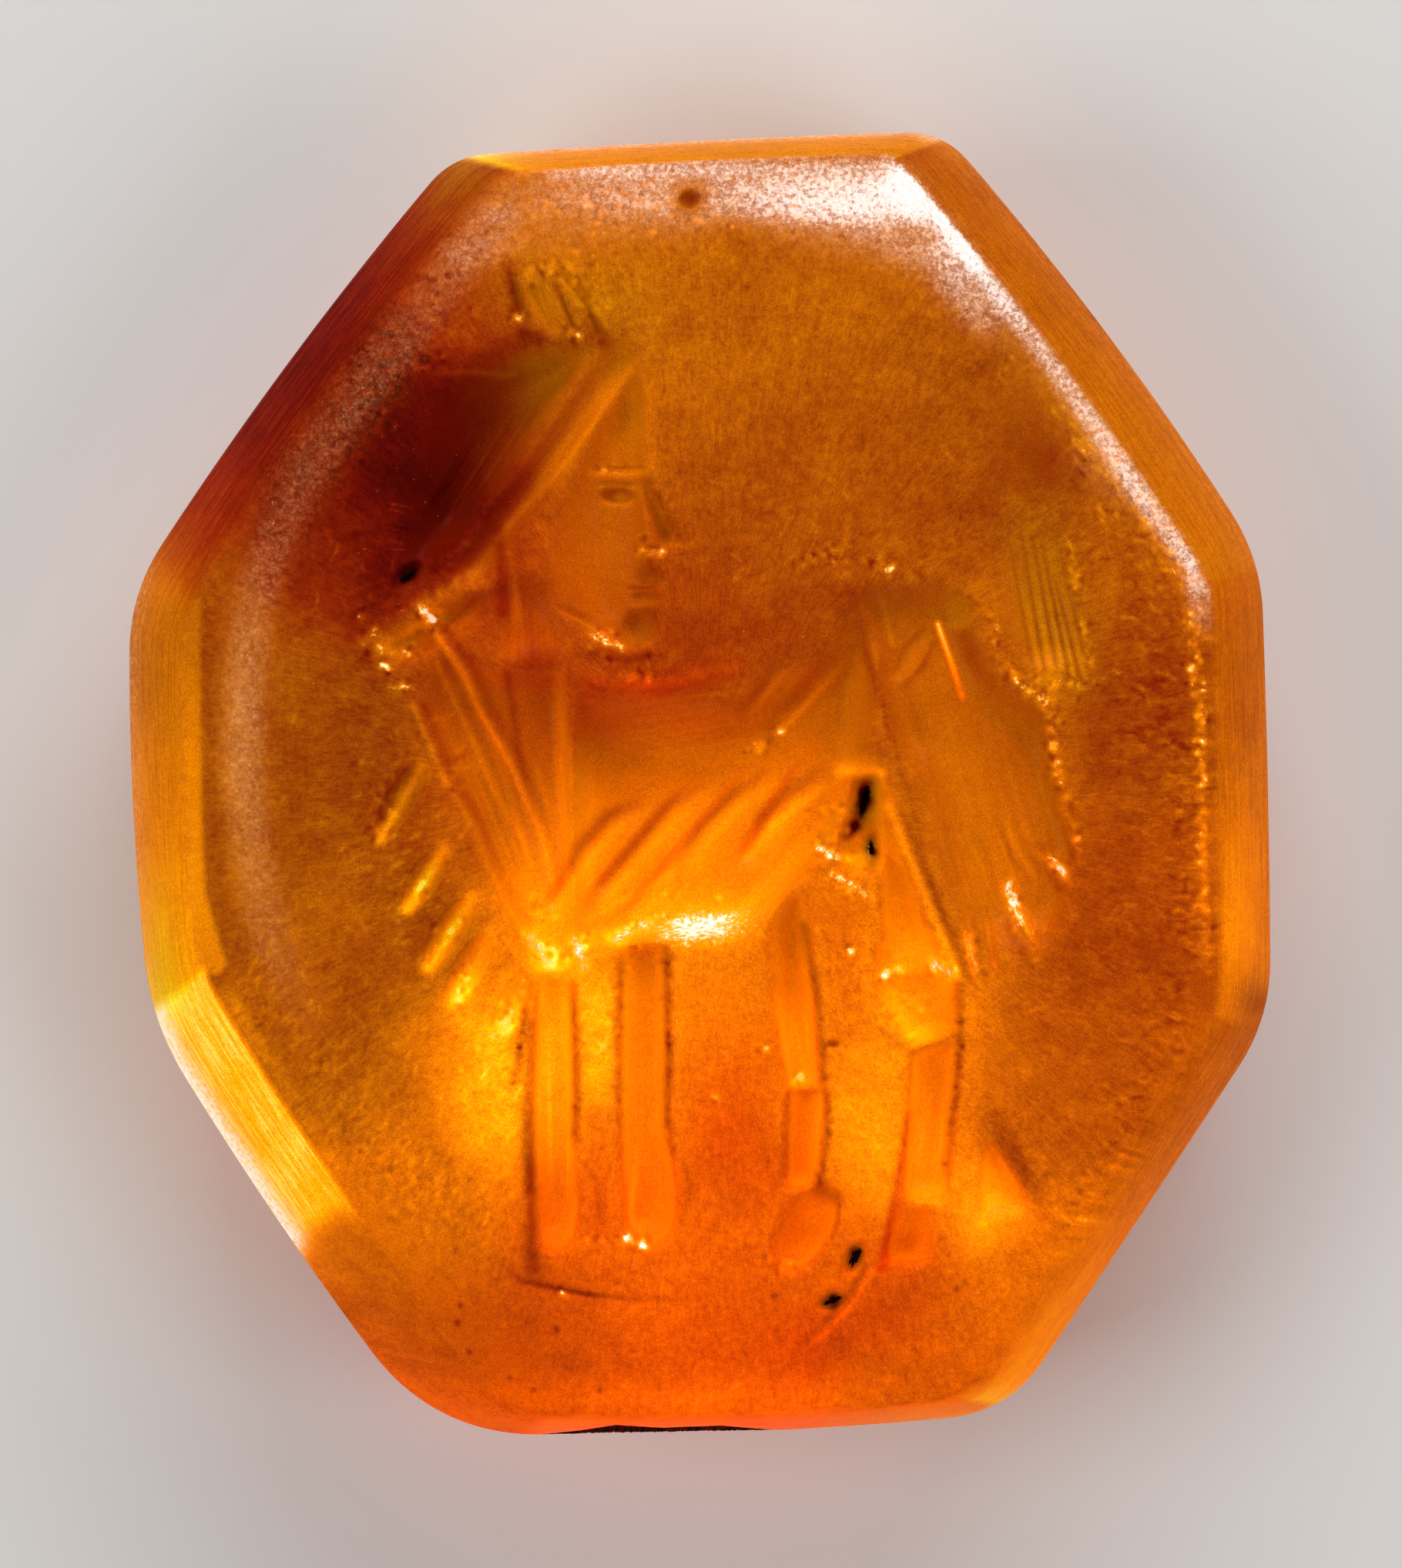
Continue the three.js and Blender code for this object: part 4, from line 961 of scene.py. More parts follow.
# Dark tone bands are painted shade on the walls of the legs' cuts and light ones painted glow on their
# floors; the glints are painted highlights.
def engrave_front_legs():
    shade(tone,
          [18, (-14, -22, -24, -14), 693, 1277, 690, 1357, 687, 1457, 690, 1540],
          [22, (-6, -22, -28, -22), 690, 1440, 690, 1520, 692, 1590, 694, 1640],
          [11, (-10, -20, -6), 683, 1303, 677, 1360, 668, 1408],
          [13, (-20, -26, -22, -8), 744, 1277, 749, 1350, 750, 1423, 746, 1480],
          [26, (4, 6, 2), 712, 1290, 712, 1400, 716, 1500],
          [70, (10, 10, 6), 780, 1290, 780, 1360, 778, 1420],
          [22, (-4, -12, -5), 752, 1444, 780, 1441, 808, 1444],
          [7, (-10, -12, -8), 757, 1503, 776, 1530, 780, 1580],
          [13, (-14, -14, -8), 806, 1250, 804, 1400, 806, 1500],
          [13, (-20, -24, -18, -8), 865, 1230, 868, 1357, 866, 1440, 872, 1490],
          [50, (-10, -8, -6, -4), 838, 1236, 836, 1330, 836, 1400, 838, 1480],
          [8, (2, 12, 8), 827, 1483, 824, 1530, 818, 1583],
          [8, (-6, -14, -4), 886, 1500, 897, 1537, 882, 1590],
          [40, (3, 6, 2), 856, 1500, 856, 1550, 850, 1600],
          [140, (-4, -5), 930, 1430, 960, 1470],
          [44, (-5, -6, -4), 778, 1460, 780, 1520, 782, 1580],
          [30, (4, 5, 4), 1056, 1560, 1040, 1610])
    rays([(704, 1290), (704, 1600)], [(740, 1290), (742, 1610)], 12, 5, 0.02, 0.07)
    rays([(814, 1250), (816, 1600)], [(860, 1250), (870, 1600)], 12, 5, 0.02, 0.07)
    chips([(748, 1270), (750, 1420), (748, 1480)], 44, 2.5, 0.12)
    chips([(868, 1236), (869, 1360), (868, 1500)], 60, 2.8, 0.16)
    chips([(804, 1240), (802, 1330), (803, 1430)], 50, 2.8, 0.14)
    chips([(684, 1300), (676, 1360), (668, 1410)], 40, 3, 0.16)
    hairs([(668, 1320), (660, 1420), (670, 1560)], 60, 70, 30, 0.1)
    hairs([(780, 1280), (780, 1420)], 40, 40, 30, 0.08)
    grain_glints([(760, 1606), (800, 1606), (840, 1612)], 14, 22, 0.4)
    glints(
        [5, (90, 90), 813, 1601, 816, 1602],
        [6, (90, 90), 832, 1610, 837, 1613],
        [4, (70, 70), 732, 1673, 734, 1674],
    )


# Painted shade along the ground line and beside the wedge, painted glow on the wedge and along the lower
# edge, and a painted glint along the crack with painted shade beside it.
def engrave_ground():
    shade(tone,
          [10, (-6, -16, -14, -10), 652, 1634, 680, 1658, 720, 1668, 780, 1680],
          [7, (-10, -18, -14, -3), 700, 1662, 760, 1674, 820, 1683, 910, 1681],
          [28, (-8, -18, -22, -12), 1286, 1450, 1306, 1488, 1328, 1524, 1350, 1558],
          [70, (-6, -8, -4), 700, 1640, 740, 1650, 800, 1660],
          [90, (-4, -10, -8), 1000, 1750, 1060, 1736, 1150, 1700],
          [50, (-6, -8, -6), 1276, 1220, 1282, 1280, 1290, 1340],
          [60, (5, 6, 4), 1272, 1500, 1282, 1550, 1286, 1590],
          [44, (4, 10, 12), 1262, 1510, 1256, 1560, 1262, 1606],
          [40, (6, 10), 1286, 1604, 1330, 1584],
          [60, (10, 15, 10), 640, 1810, 850, 1815, 1080, 1810],
          [70, (-6, -8), 1180, 1810, 1260, 1800],
          [70, (-4, -5), 1330, 560, 1346, 600])
    hairs([(1330, 1480), (1360, 1540), (1380, 1590)], 40, 50, -35, 0.14)
    smear(depth, [(690, 1660), (760, 1675), (860, 1683)], 9, (0.04, 0.06, 0.02))
    shade(red,
          [130, (30, 36, 16), 940, 1420, 940, 1460, 970, 1500],
          [110, (30, 30, 20), 1060, 1736, 1150, 1700, 1180, 1650],
          [70, (20, 15), 1270, 1560, 1320, 1580],
          [50, (20, 10), 778, 1460, 782, 1580])
    crack_px = [(1130, 1640), (1104, 1686), (1078, 1712), (1036, 1752)]
    smear(depth, crack_px, 6, (0.05, 0.08, 0.06, 0.02))
    smear(glint_light, crack_px, 5, (0.4, 0.4, 0.3, 0.1))
    smear(tone, crack_px, 9, (0.08, 0.08, 0.06, 0.02))
    smear(tone, np.array(crack_px) - (9, 4), 8, (-0.16, -0.16, -0.1, -0.03))
    pits_px = [
        [(1122, 1040), (14, 36), -12],
        [(1131, 1105), (11, 24), 4],
        [(1108, 1628), (14, 26), -30],
        [(1079, 1684), (20, 11), 20],
        [(532, 750), (24, 12), 40],
    ]
    for place, size, turn in pits_px:
        dimple(place, size, 0.2, turn=turn, glow=-0.04, added=True, edge=0.05)
        chips([place, place], 10, 5, 0.14)
    dimple((895, 265), (14, 12), 0.12, glow=-0.2)
    shade(polish, [84, (100, 100), 1330, 540, 1346, 600])
    specks_px = [
        (596, 1712), (612, 1750), (664, 1784), (694, 1798), (724, 1720), (780, 1800), (600, 1690),
        (1005, 1677), (1250, 1660), (1240, 1668), (470, 1490), (590, 1026),
    ]
    for place in specks_px:
        dab(tone, place, RANDOM.uniform(3, 5), -0.25)


def engrave_rim():
    """Frosted and rolled places of the rim, worn in use, with painted sheen on the frost, painted
    light and shade on the rim, and painted glints.
    """
    right_edge_px = [(1552, 800), (1553, 960), (1556, 1100), (1560, 1250)]
    top_px = [(630, 262), (780, 252), (900, 256), (1040, 256), (1180, 256)]
    smear(frost_sheen, top_px, 84, (0.26, 0.56, 0.6, 0.8, 0.9), 3)
    shade(frost_sheen,
          [26, (20, 30, 20, 20), 720, 226, 900, 222, 1060, 218, 1180, 216],
          [90, (40, 40), 1200, 236, 1250, 310], sharpness=3)
    shade(frost_sheen,
          [60, (20, 24, 20), 600, 330, 780, 312, 900, 306],
          [74, (20, 45, 55, 40), 1000, 306, 1120, 312, 1210, 340, 1270, 410],
          [70, (16, 16, 16), 1250, 380, 1340, 500, 1440, 640],
          [50, (10, 14, 10), 1410, 600, 1470, 660, 1520, 760])
    edge_px = [(1228, 286), (1308, 396), (1398, 522), (1498, 668), (1547, 736), (1558, 808)]
    smear(frost_sheen, edge_px, 40, (0.6, 0.62, 0.64, 0.64, 0.8, 0.4), 3)
    dab(frost_sheen, (895, 265), 18, -0.6)
    shade(tone,
          [56, (8, 16, 16, 18, 4), 1330, 440, 1400, 540, 1480, 650, 1540, 740, 1550, 820],
          [24, (2, 8, 6), 1564, 1020, 1566, 1100, 1566, 1180],
          [20, (-2, -5, -5, -2), 278, 800, 280, 940, 284, 1100, 310, 1260],
          [130, (-3, -3, -1), 470, 880, 460, 1000, 480, 1140],
          [60, (5, 10, 8, 6), 330, 800, 308, 900, 308, 1000, 330, 1160])
    shade(glint_light, [46, (10, 20, 30), 1400, 570, 1480, 650, 1540, 740])
    hairs([(1390, 560), (1470, 640), (1530, 740)], 70, 240, -50, 0.22)
    hairs([(1480, 720), (1500, 860), (1500, 960)], 90, 260, -25, 0.13)
    right_px = [(1546, 790), (1553, 960), (1560, 1250)]
    smear(tone, right_px, 40, (0.04, 0.04, 0.04))
    grain_glints(right_px, 18, 90, 0.9)
    hairs([(1530, 960), (1536, 1100), (1540, 1240)], 44, 150, 10, 0.2)
    fringe_px = [(1545, 1220), (1500, 1380), (1446, 1500), (1390, 1600)]
    hairs(fringe_px, 50, 170, -12, 0.17)
    grain_glints(fringe_px, 50, 26, 0.35)
    outside_px = [(1590, 1240), (1548, 1400), (1484, 1520), (1420, 1620)]
    smear(tone, outside_px, 70, (0.02, 0.06, 0.1, 0.08), 3)
    smear(polish, outside_px, 70, (1, 1, 1, 1), 3)
    # The worn edge is polished and painted bright, as painted glow
    worn_glowing_edge_px = [(250, 770), (250, 900), (251, 1040), (256, 1160), (282, 1248)]
    smear(tone, worn_glowing_edge_px, 32, (0.1, 0.2, 0.26, 0.3, 0.26), 6)
    smear(polish, worn_glowing_edge_px, 34, np.ones(5), 6)
    shade(tone, [22, (10, 8, 4), 300, 1290, 400, 1450, 450, 1530], sharpness=4)
    smear(tone, right_edge_px, 14, (0.04, 0.1, 0.12, 0.1))
    hairs([(330, 1230), (420, 1370), (520, 1490), (600, 1570)], 110, 280, 60, 0.14)
    left_px = [
        (646, 300), (592, 362), (536, 434), (476, 514), (416, 596), (366, 686), (332, 790),
        (322, 900), (320, 1000), (332, 1110), (356, 1220), (400, 1320),
    ]
    smear(frost_sheen, left_px, 70, (0.2, 0.3, 0.3, 0.28, 0.28, 0.3, 0.34, 0.4, 0.4, 0.34, 0.3, 0.16), 3)
    smear(depth, left_px, 130, (0.02, 0.02, 0.04, 0.05, 0.05, 0.05, 0.05, 0.05, 0.05, 0.04, 0.02, 0))
    grain_glints([(640, 310), (540, 450), (440, 590)], 80, 130, 0.25)
    grain_glints([(680, 280), (900, 280), (1100, 280)], 80, 170, 0.5)
    hairs([(560, 940), (520, 1080), (560, 1180)], 110, 160, 40, 0.12)


def shade_bevels():
    """Lighter and darker stretches of the bevels, painted light and shade."""
    shade(bevel_glow,
          [120, (26, 12, 0), 600, 220, 540, 320, 470, 420],
          [120, (2, 14, 16), 330, 560, 280, 640, 220, 740],
          [70, (0, -5, -6, 0), 1612, 740, 1614, 850, 1612, 950, 1610, 1020],
          [60, (0, 12), 1280, 230, 1240, 190],
          [70, (2, 16, 20, 10), 1606, 1040, 1604, 1120, 1600, 1210, 1590, 1290],
          [110, (-2, -6, -2), 1440, 1620, 1500, 1510, 1560, 1410],
          [50, (-4, -22, -16), 1600, 1270, 1630, 1300, 1650, 1310])
    shade(bevel_hue,
          [120, (100, 50, 0), 600, 220, 560, 290, 500, 380],
          [60, (20, 80), 204, 1150, 212, 1290],
          [70, (10, 70, 90), 1040, 1858, 1150, 1852, 1270, 1838])
    rolled_px = [(486, 1662), (560, 1756), (610, 1800)]
    smear(rolled, rolled_px, 200, (1, 1, 1), 8)
    smear(polish, rolled_px, 220, (0.8, 0.8, 0.8), 4)


def scratch_face():
    """Short hair-fine scratches, which follow the way that the face was rubbed."""
    areas_px = [
        [(1150, 420), (320, 180), 150, 90],
        [(1460, 960), (90, 300), 170, 20],
        [(1400, 1350), (170, 170), 120, -35],
        [(960, 700), (160, 70), 60, 10],
        [(430, 1000), (90, 300), 90, 60],
        [(760, 1720), (260, 80), 50, 40],
        [(560, 1400), (110, 160), 80, 60],
    ]
    for middle, spread, count, turn in areas_px:
        for _ in range(count):
            centre = np.array(middle) + RANDOM.uniform(-1, 1, 2) * spread
            angle = math.radians(turn + RANDOM.normal(0, 35))
            reach = np.array([math.cos(angle), -math.sin(angle)]) * RANDOM.uniform(6, 20)
            bend = RANDOM.normal(0, 3, 2)
            strength = RANDOM.uniform(-0.1, 0.16)
            smear(tone, [centre - reach, centre + bend, centre + reach], 3.5, (0, strength, 0))


def engrave():
    form_hair()
    depth[:] = blurred(depth, FORM_SOFTENING)
    form_face()
    form_fan()
    form_body()
    form_wing()
    form_legs()
    depth[:] = blurred(depth, FORM_SOFTENING)
    engrave_rim()
    shade_bevels()
    engrave_hair()
    engrave_crown()
    engrave_face()
    engrave_wing()
    engrave_comb()
    engrave_body()
    engrave_stripes()
    engrave_fan()
    engrave_tail_feathers()
    engrave_shoulder()
    engrave_third_leg()
    engrave_hind_leg()
    engrave_front_legs()
    engrave_ground()
    scratch_face()


# The zones of glow inside the stone, painted glow together with the stone's own colour
# zones: place, reach, glow, redness and olive
GLOW_ZONES_PX = [
    [(1050, 380), 200, 0.45, 0, 0.55],
    [(1330, 520), 160, 0.33, 0, 0.8],
    [(700, 300), 120, 0.5, 0, 0.4],
    [(560, 380), 110, 0.27, 0.2, 0],
    [(420, 560), 110, 0.14, 0.3, 0.2],
    [(560, 600), 110, 0.21, 0.2, 0.1],
    [(450, 740), 90, 0.18, 0.2, 0.2],
    [(330, 860), 100, 0.36, 0, 0.7],
    [(430, 950), 100, 0.36, 0, 0.7],
    [(360, 1120), 100, 0.38, 0, 0.7],
    [(430, 1340), 90, 0.44, 0, 0.5],
    [(500, 1180), 90, 0.42, 0, 0.4],
    [(600, 1060), 90, 0.42, 0.1, 0],
    [(560, 1400), 60, 0.6, 0, 0.2],
    [(630, 1390), 80, 0.93, 0, 0],
    [(540, 1580), 90, 0.6, 0.1, 0.2],
    [(560, 1730), 90, 0.48, 0.4, 0],
    [(720, 1160), 80, 0.72, 0, 0],
    [(740, 1380), 80, 0.8, 0.05, 0],
    [(860, 960), 70, 0.5, 0.2, 0],
    [(900, 1110), 110, 0.66, 0, 0],
    [(830, 1400), 90, 0.78, 0.1, 0],
    [(950, 1380), 80, 0.7, 0.35, 0],
    [(1050, 1250), 80, 0.66, 0.1, 0],
    [(1180, 1320), 90, 0.76, 0, 0],
    [(1130, 1480), 80, 0.78, 0.1, 0],
    [(1284, 1566), 40, 0.8, 0, 0],
    [(960, 1560), 100, 0.62, 0.6, 0],
    [(800, 1600), 100, 0.71, 0.58, 0],
    [(700, 1780), 110, 0.5, 0.7, 0],
    [(930, 1780), 120, 0.63, 0.78, 0],
    [(1080, 1640), 80, 0.6, 0.5, 0],
    [(1180, 1740), 100, 0.6, 0.45, 0],
    [(1340, 1640), 90, 0.64, 0.15, 0],
    [(1400, 1400), 110, 0.46, 0.2, 0],
    [(1460, 1180), 110, 0.37, 0.15, 0],
    [(1470, 900), 120, 0.32, 0.05, 0.3],
    [(1250, 1100), 100, 0.5, 0, 0.1],
    [(1220, 860), 110, 0.42, 0, 0.1],
    [(1000, 660), 140, 0.36, 0.05, 0.3],
    [(1180, 650), 120, 0.38, 0, 0.4],
    [(760, 600), 90, 0.46, 0, 0.1],
    [(740, 720), 80, 0.47, 0.15, 0],
    [(880, 800), 80, 0.36, 0.2, 0],
    [(1020, 880), 80, 0.5, 0.1, 0],
    [(640, 860), 90, 0.4, 0.35, 0],
    [(1350, 780), 90, 0.48, 0, 0.35],
]


def zone_fields():
    """Painted glow, redness and olive everywhere, blended by how near each zone is."""
    step = 8
    place = np.stack(np.meshgrid(GRID_X[::step], GRID_Y[::step]), -1)
    total = np.full(place.shape[:2], 1e-9)
    values = np.zeros((3, *total.shape))
    for centre, reach, *zone in GLOW_ZONES_PX:
        gap = ((place - from_px([centre])[0]) ** 2).sum(axis=-1)
        weight = np.exp(-gap / (reach * MM_PER_PX) ** 2) + 1e-4 / (1 + gap)
        total += weight
        values += weight * np.array(zone)[:, None, None]
    return [over_raster(value / total, step) for value in values]


def finish_fields():
    """Works the zones and the relief into the final tone: painted glow where the face is cut
    deep, painted light and shade by the slope, and painted shade on the steep walls.
    """
    ground = rough_noise(2) * 0.5 + rough_noise(6) * 0.5
    depth[:] = blurred(depth, 1)
    polished = np.clip(polish, 0, 1)
    roughness = 1 - POLISH_CALM * polished
    down_y, down_x = np.gradient(blurred(depth, 1), CELL)
    steepness = np.hypot(down_x, down_y)
    wall = ramp((steepness - GENTLE_SLOPE) / (STEEP_SLOPE - GENTLE_SLOPE))
    lit = -(down_x * LIGHT_WAY[0] + down_y * LIGHT_WAY[1]) / (1 + steepness)
    glow, redness, green = zone_fields()
    tone[:] += glow + DEPTH_GLOW * blurred(depth, 6) + LIGHT_SHARE * lit
    tone[:] += ground * GROUND_TONE * roughness + rough_noise(20) * MOTTLE_TONE
    tone[:] -= WALL_DARKNESS * wall * blurred(darkness, 2)
    nook = np.clip(depth - far_blurred(depth), 0, 0.5)
    red[:] += redness - NOOK_YELLOW * nook - WALL_YELLOW * wall * polished
    olive[:] += green
    depth[:] += ground * GROUND_RELIEF * roughness


# The stone's mesh

def face_points():
    """Points of the face, in rings round its middle, with each point's share of the way to
    the rim."""
    points = [np.zeros((1, 2))]
    shares = [np.zeros(1)]
    for row in range(1, FACE_RINGS + 1):
        places = np.arange(SECTORS * row) * FACE_RINGS / row
        share = row / FACE_RINGS
        points.append(resampled(RIM, places) * share)
        shares.append(np.full(SECTORS * row, share))
    return np.concatenate(points), np.concatenate(shares)


def face_triangles():
    triangles = []
    for row in range(FACE_RINGS):
        inner_start = 1 + SECTORS * row * (row - 1) // 2 if row else 0
        outer_start = 1 + SECTORS * (row + 1) * row // 2
        inner_count = max(SECTORS * row, 1)
        outer_count = SECTORS * (row + 1)
        for sector in range(SECTORS):
            step = np.arange(row + 1)
            inner = inner_start + (sector * row + step) % inner_count
            outer = outer_start + (sector * (row + 1) + step) % outer_count
            outer_next = outer_start + (sector * (row + 1) + step + 1) % outer_count
            triangles.append(np.stack([inner, outer, outer_next], 1))
            if row:
                inner_next = np.roll(inner, -1)[:-1]
                triangles.append(np.stack([inner[:-1], outer_next[:-1], inner_next], 1))
    return np.concatenate(triangles)


def band(inner, outer, count):
    """Triangles between two rings of the same count, where the first lies inside or above."""
    step = np.arange(count)
    after = (step + 1) % count
    first = np.column_stack([inner + step, outer + step, outer + after])
    second = np.column_stack([inner + step, outer + after, inner + after])
    return np.concatenate([first, second])


def fan(start, count, tip):
    """Triangles from the last ring of a surface to the point that closes it."""
    step = np.arange(count)
    return np.column_stack([start + step, np.full(count, tip), start + (step + 1) % count])


def shares_of(count):
    return np.arange(1, count + 1) / count


def profile_rows():
    """Below the rim: each row's inset, bevel share, rounding share and height."""
    return [
        *[(0, 1 - share, 0.5 + 0.5 * share, GIRDLE_TOP + BEVEL_HEIGHT * (1 - share ** BEVEL_CURVE))
          for share in shares_of(BEVEL_ROWS)],
        *[(0, 0, 1, GIRDLE_TOP - GIRDLE_BAND * share) for share in shares_of(GIRDLE_ROWS)],
        *[(SIDE_TAPER * share, 0, 1, GIRDLE_LOW + (BACK_CHAMFER - GIRDLE_LOW) * share)
          for share in shares_of(TAPER_ROWS)],
        *[(SIDE_TAPER + BACK_CHAMFER * share, 0, 1, BACK_CHAMFER * (1 - share))
          for share in shares_of(CHAMFER_ROWS)],
    ]


# Tone of the bevel on each side: how softly the next side follows, the painted glow at its
# start and end, redness, olive, the frost with its painted sheen at its inner and outer edge,
# and how softly it joins the face. The sides run as in the outline.
BEVEL_TONES = np.array([
    [0.05, 0.84, 0.68, 0.92, 0, 0, 0.03, 0.4],
    [0.05, 0.8, 0.46, 0.1, 0, 0, 0.06, 0.7],
    [0.05, 0.57, 0.48, 0, 0.1, 0.1, 0.06, 0.25],
    [0.04, 0.52, 0.36, 0, 0.5, 0.2, 0.25, 0.12],
    [0.1, 0.56, 0.6, 0, 0.9, 0.6, 0.6, 0.2],
    [0.24, 0.12, 0.14, 0.4, 0.1, 0.05, 0, 0.5],
    [0.05, 0.44, 0.8, 0, 0.6, 0.1, 0.4, 0.2],
    [0.05, 0.96, 0.9, 0, 0, 0, 0.9, 0.1],
])


def bevel_tone():
    """Painted glow, redness, olive, frost with its painted sheen, and softness of the bevel, each
    at every sample round the stone."""
    place = SIDE_OF_SAMPLE - 0.5 * CORNER_STEPS / (CORNER_STEPS + SIDE_STEPS)
    side = np.floor(place).astype(int)
    part = place - side
    blend, start, end, *rest = BEVEL_TONES[side % 8].T
    _, ahead, _, *rest_ahead = BEVEL_TONES[(side + 1) % 8].T
    mix = ramp((part - 1 + blend) / blend)
    here = np.array([start * (1 - part) + end * part, *rest])
    return here * (1 - mix) + np.array([ahead, *rest_ahead]) * mix


def face_layers():
    """The face's points, tones, wear and painted glints, grain and places on the map."""
    flat, shares = face_points()
    dome = RIM_HEIGHT + FACE_RISE * (1 - shares ** DOME_POWER)
    reach = np.linalg.norm(flat, axis=1)[:, None]
    return [
        np.column_stack([flat, dome - sampled(depth, flat) * ramp((1 - shares) / RIM_FADE)]),
        np.column_stack([sampled(values, flat) for values in (tone, red, olive, frost_sheen)]),
        np.column_stack([np.clip(sampled(polish, flat), 0, 1), 0 * shares, sampled(glint_light, flat)]),
        np.column_stack([flat / (reach + 1e-6) * FIBRE_ACROSS, reach * FIBRE_ALONG]),
        flat / HALF_SIZE[1] * LAYOUT_FACE,
    ]


def side_layers(number, profile_row, rim_values):
    """The points, tones, wear and painted glints, and grain of a ring below the rim."""
    inset, bevel_share, round_share, height = profile_row
    flat = resampled(ring(inset, bevel_share, round_share), RIM_PLACES)
    if height > CHIP_FOOT:
        flat = chipped(flat, height)
    glow, redness, green, inner_frost_sheen, outer_frost_sheen, softness = bevel_tone()
    below = ramp((GIRDLE_TOP - height) / GIRDLE_TOP)
    join = ramp((1 - bevel_share) / softness) * (1 - np.clip(sampled(rolled, flat), 0, 1))
    frost_sheen_amount = inner_frost_sheen * ramp((bevel_share - 1 + INNER_FROST_SHEEN_WIDTH) / INNER_FROST_SHEEN_WIDTH)
    frost_sheen_amount += outer_frost_sheen * ramp((OUTER_FROST_SHEEN_WIDTH - bevel_share) / OUTER_FROST_SHEEN_WIDTH)
    frost_sheen_amount = frost_sheen_amount * (1 - FROST_SHEEN_FADE * below) + FACE_FROST_SHEEN_SHARE * sampled(frost_sheen, flat)
    glow += sampled(bevel_glow, flat)
    glow += (SIDE_TONE - glow) * SIDE_FADE * below
    hue = sampled(bevel_hue, flat)
    redness = (redness - 0.5 * hue) * (1 - SIDE_FADE * below)
    values = np.column_stack([glow, redness, green + hue, frost_sheen_amount])
    count = RIM_SAMPLES
    round_the_stone = np.arange(count) * np.linalg.norm(RIM[1] - RIM[0])
    return [
        np.column_stack([flat, np.full(count, height)]),
        rim_values * (1 - join[:, None]) + values * join[:, None],
        np.column_stack([BEVEL_POLISH * join, join, sampled(glint_light, flat)]),
        np.column_stack([round_the_stone, np.full(count, number * SIDE_FIBRE_STEP), np.full(count, 1)]),
    ]


def stone_layers():
    """The stone's points, tones, wear and painted glints, grain and places on the map, and its
    triangles.
    """
    face = face_layers()
    count = RIM_SAMPLES
    start = len(face[0]) - count
    rings = [side_layers(number, row, face[1][start:]) for number, row in enumerate(profile_rows())]
    foot = rings[-1]
    rings += [[foot[0] * [share, share, 0], *foot[1:]] for share in BACK_SHARES]
    rim_direction = RIM / np.linalg.norm(RIM, axis=1)[:, None]
    for number, layers in enumerate(rings):
        reach = (LAYOUT_HALF - LAYOUT_FACE) * (number + 1) / (len(rings) + 1)
        layers.append(face[4][start:] + rim_direction * reach * LAYOUT_FILL)
    middle = [np.zeros((1, 3)), *[layer.mean(axis=0)[None] for layer in rings[-1][1:]]]
    starts = start + count * np.arange(len(rings) + 1)
    bands = [band(first, first + count, count) for first in starts[:-1]]
    triangles = [face_triangles(), *bands, fan(starts[-1], count, starts[-1] + count)]
    return [np.concatenate(layer) for layer in zip(face, *rings, middle)], np.concatenate(triangles)


def mesh_object(name, points, triangles):
    mesh = bpy.data.meshes.new(name)
    mesh.vertices.add(len(points))
    mesh.vertices.foreach_set("co", (np.asarray(points) * MM).astype(np.float32).ravel())
    mesh.loops.add(triangles.size)
    mesh.loops.foreach_set("vertex_index", triangles.astype(np.int32).ravel())
    mesh.polygons.add(len(triangles))
    mesh.polygons.foreach_set("loop_start", np.arange(0, triangles.size, 3, dtype=np.int32))
    mesh.polygons.foreach_set("loop_total", np.full(len(triangles), 3, dtype=np.int32))
    mesh.update(calc_edges=True)
    mesh.validate()
    mesh.polygons.foreach_set("use_smooth", np.ones(len(mesh.polygons), dtype=bool))
    item = bpy.data.objects.new(name, mesh)
    bpy.context.scene.collection.objects.link(item)
    return item


def add_colour(mesh, name, values):
    layer = mesh.attributes.new(name, "FLOAT_COLOR", "POINT")
    padded = np.ones((len(values), 4), np.float32)
    padded[:, :values.shape[1]] = values
    layer.data.foreach_set("color", padded.ravel())


def stone():
    (points, values, wear_and_glints, grain, layout), triangles = stone_layers()
    item = mesh_object("carved_stone", points, triangles)
    mesh = item.data
    add_colour(mesh, "tone", values)
    add_colour(mesh, "wear_and_glints", wear_and_glints)
    layer = mesh.attributes.new("grain", "FLOAT_VECTOR", "POINT")
    layer.data.foreach_set("vector", grain.astype(np.float32).ravel())
    layer = mesh.uv_layers.new(name="OFBake")
    corner = np.zeros(len(mesh.loops), np.int32)
    mesh.loops.foreach_get("vertex_index", corner)
    layer.data.foreach_set("uv", (layout[corner] + LAYOUT_HALF).astype(np.float32).ravel())
    item.data.materials.append(carnelian_material())
    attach(item, "root")
    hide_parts("gem_stone")


# Materials

def linear(colour):
    """Linear red, green and blue, with alpha, from display values of 0 to 255."""
    shares = np.array(colour) / 255
    return [*np.where(shares < 0.04045, shares / 12.92, ((shares + 0.055) / 1.055) ** 2.4), 1]


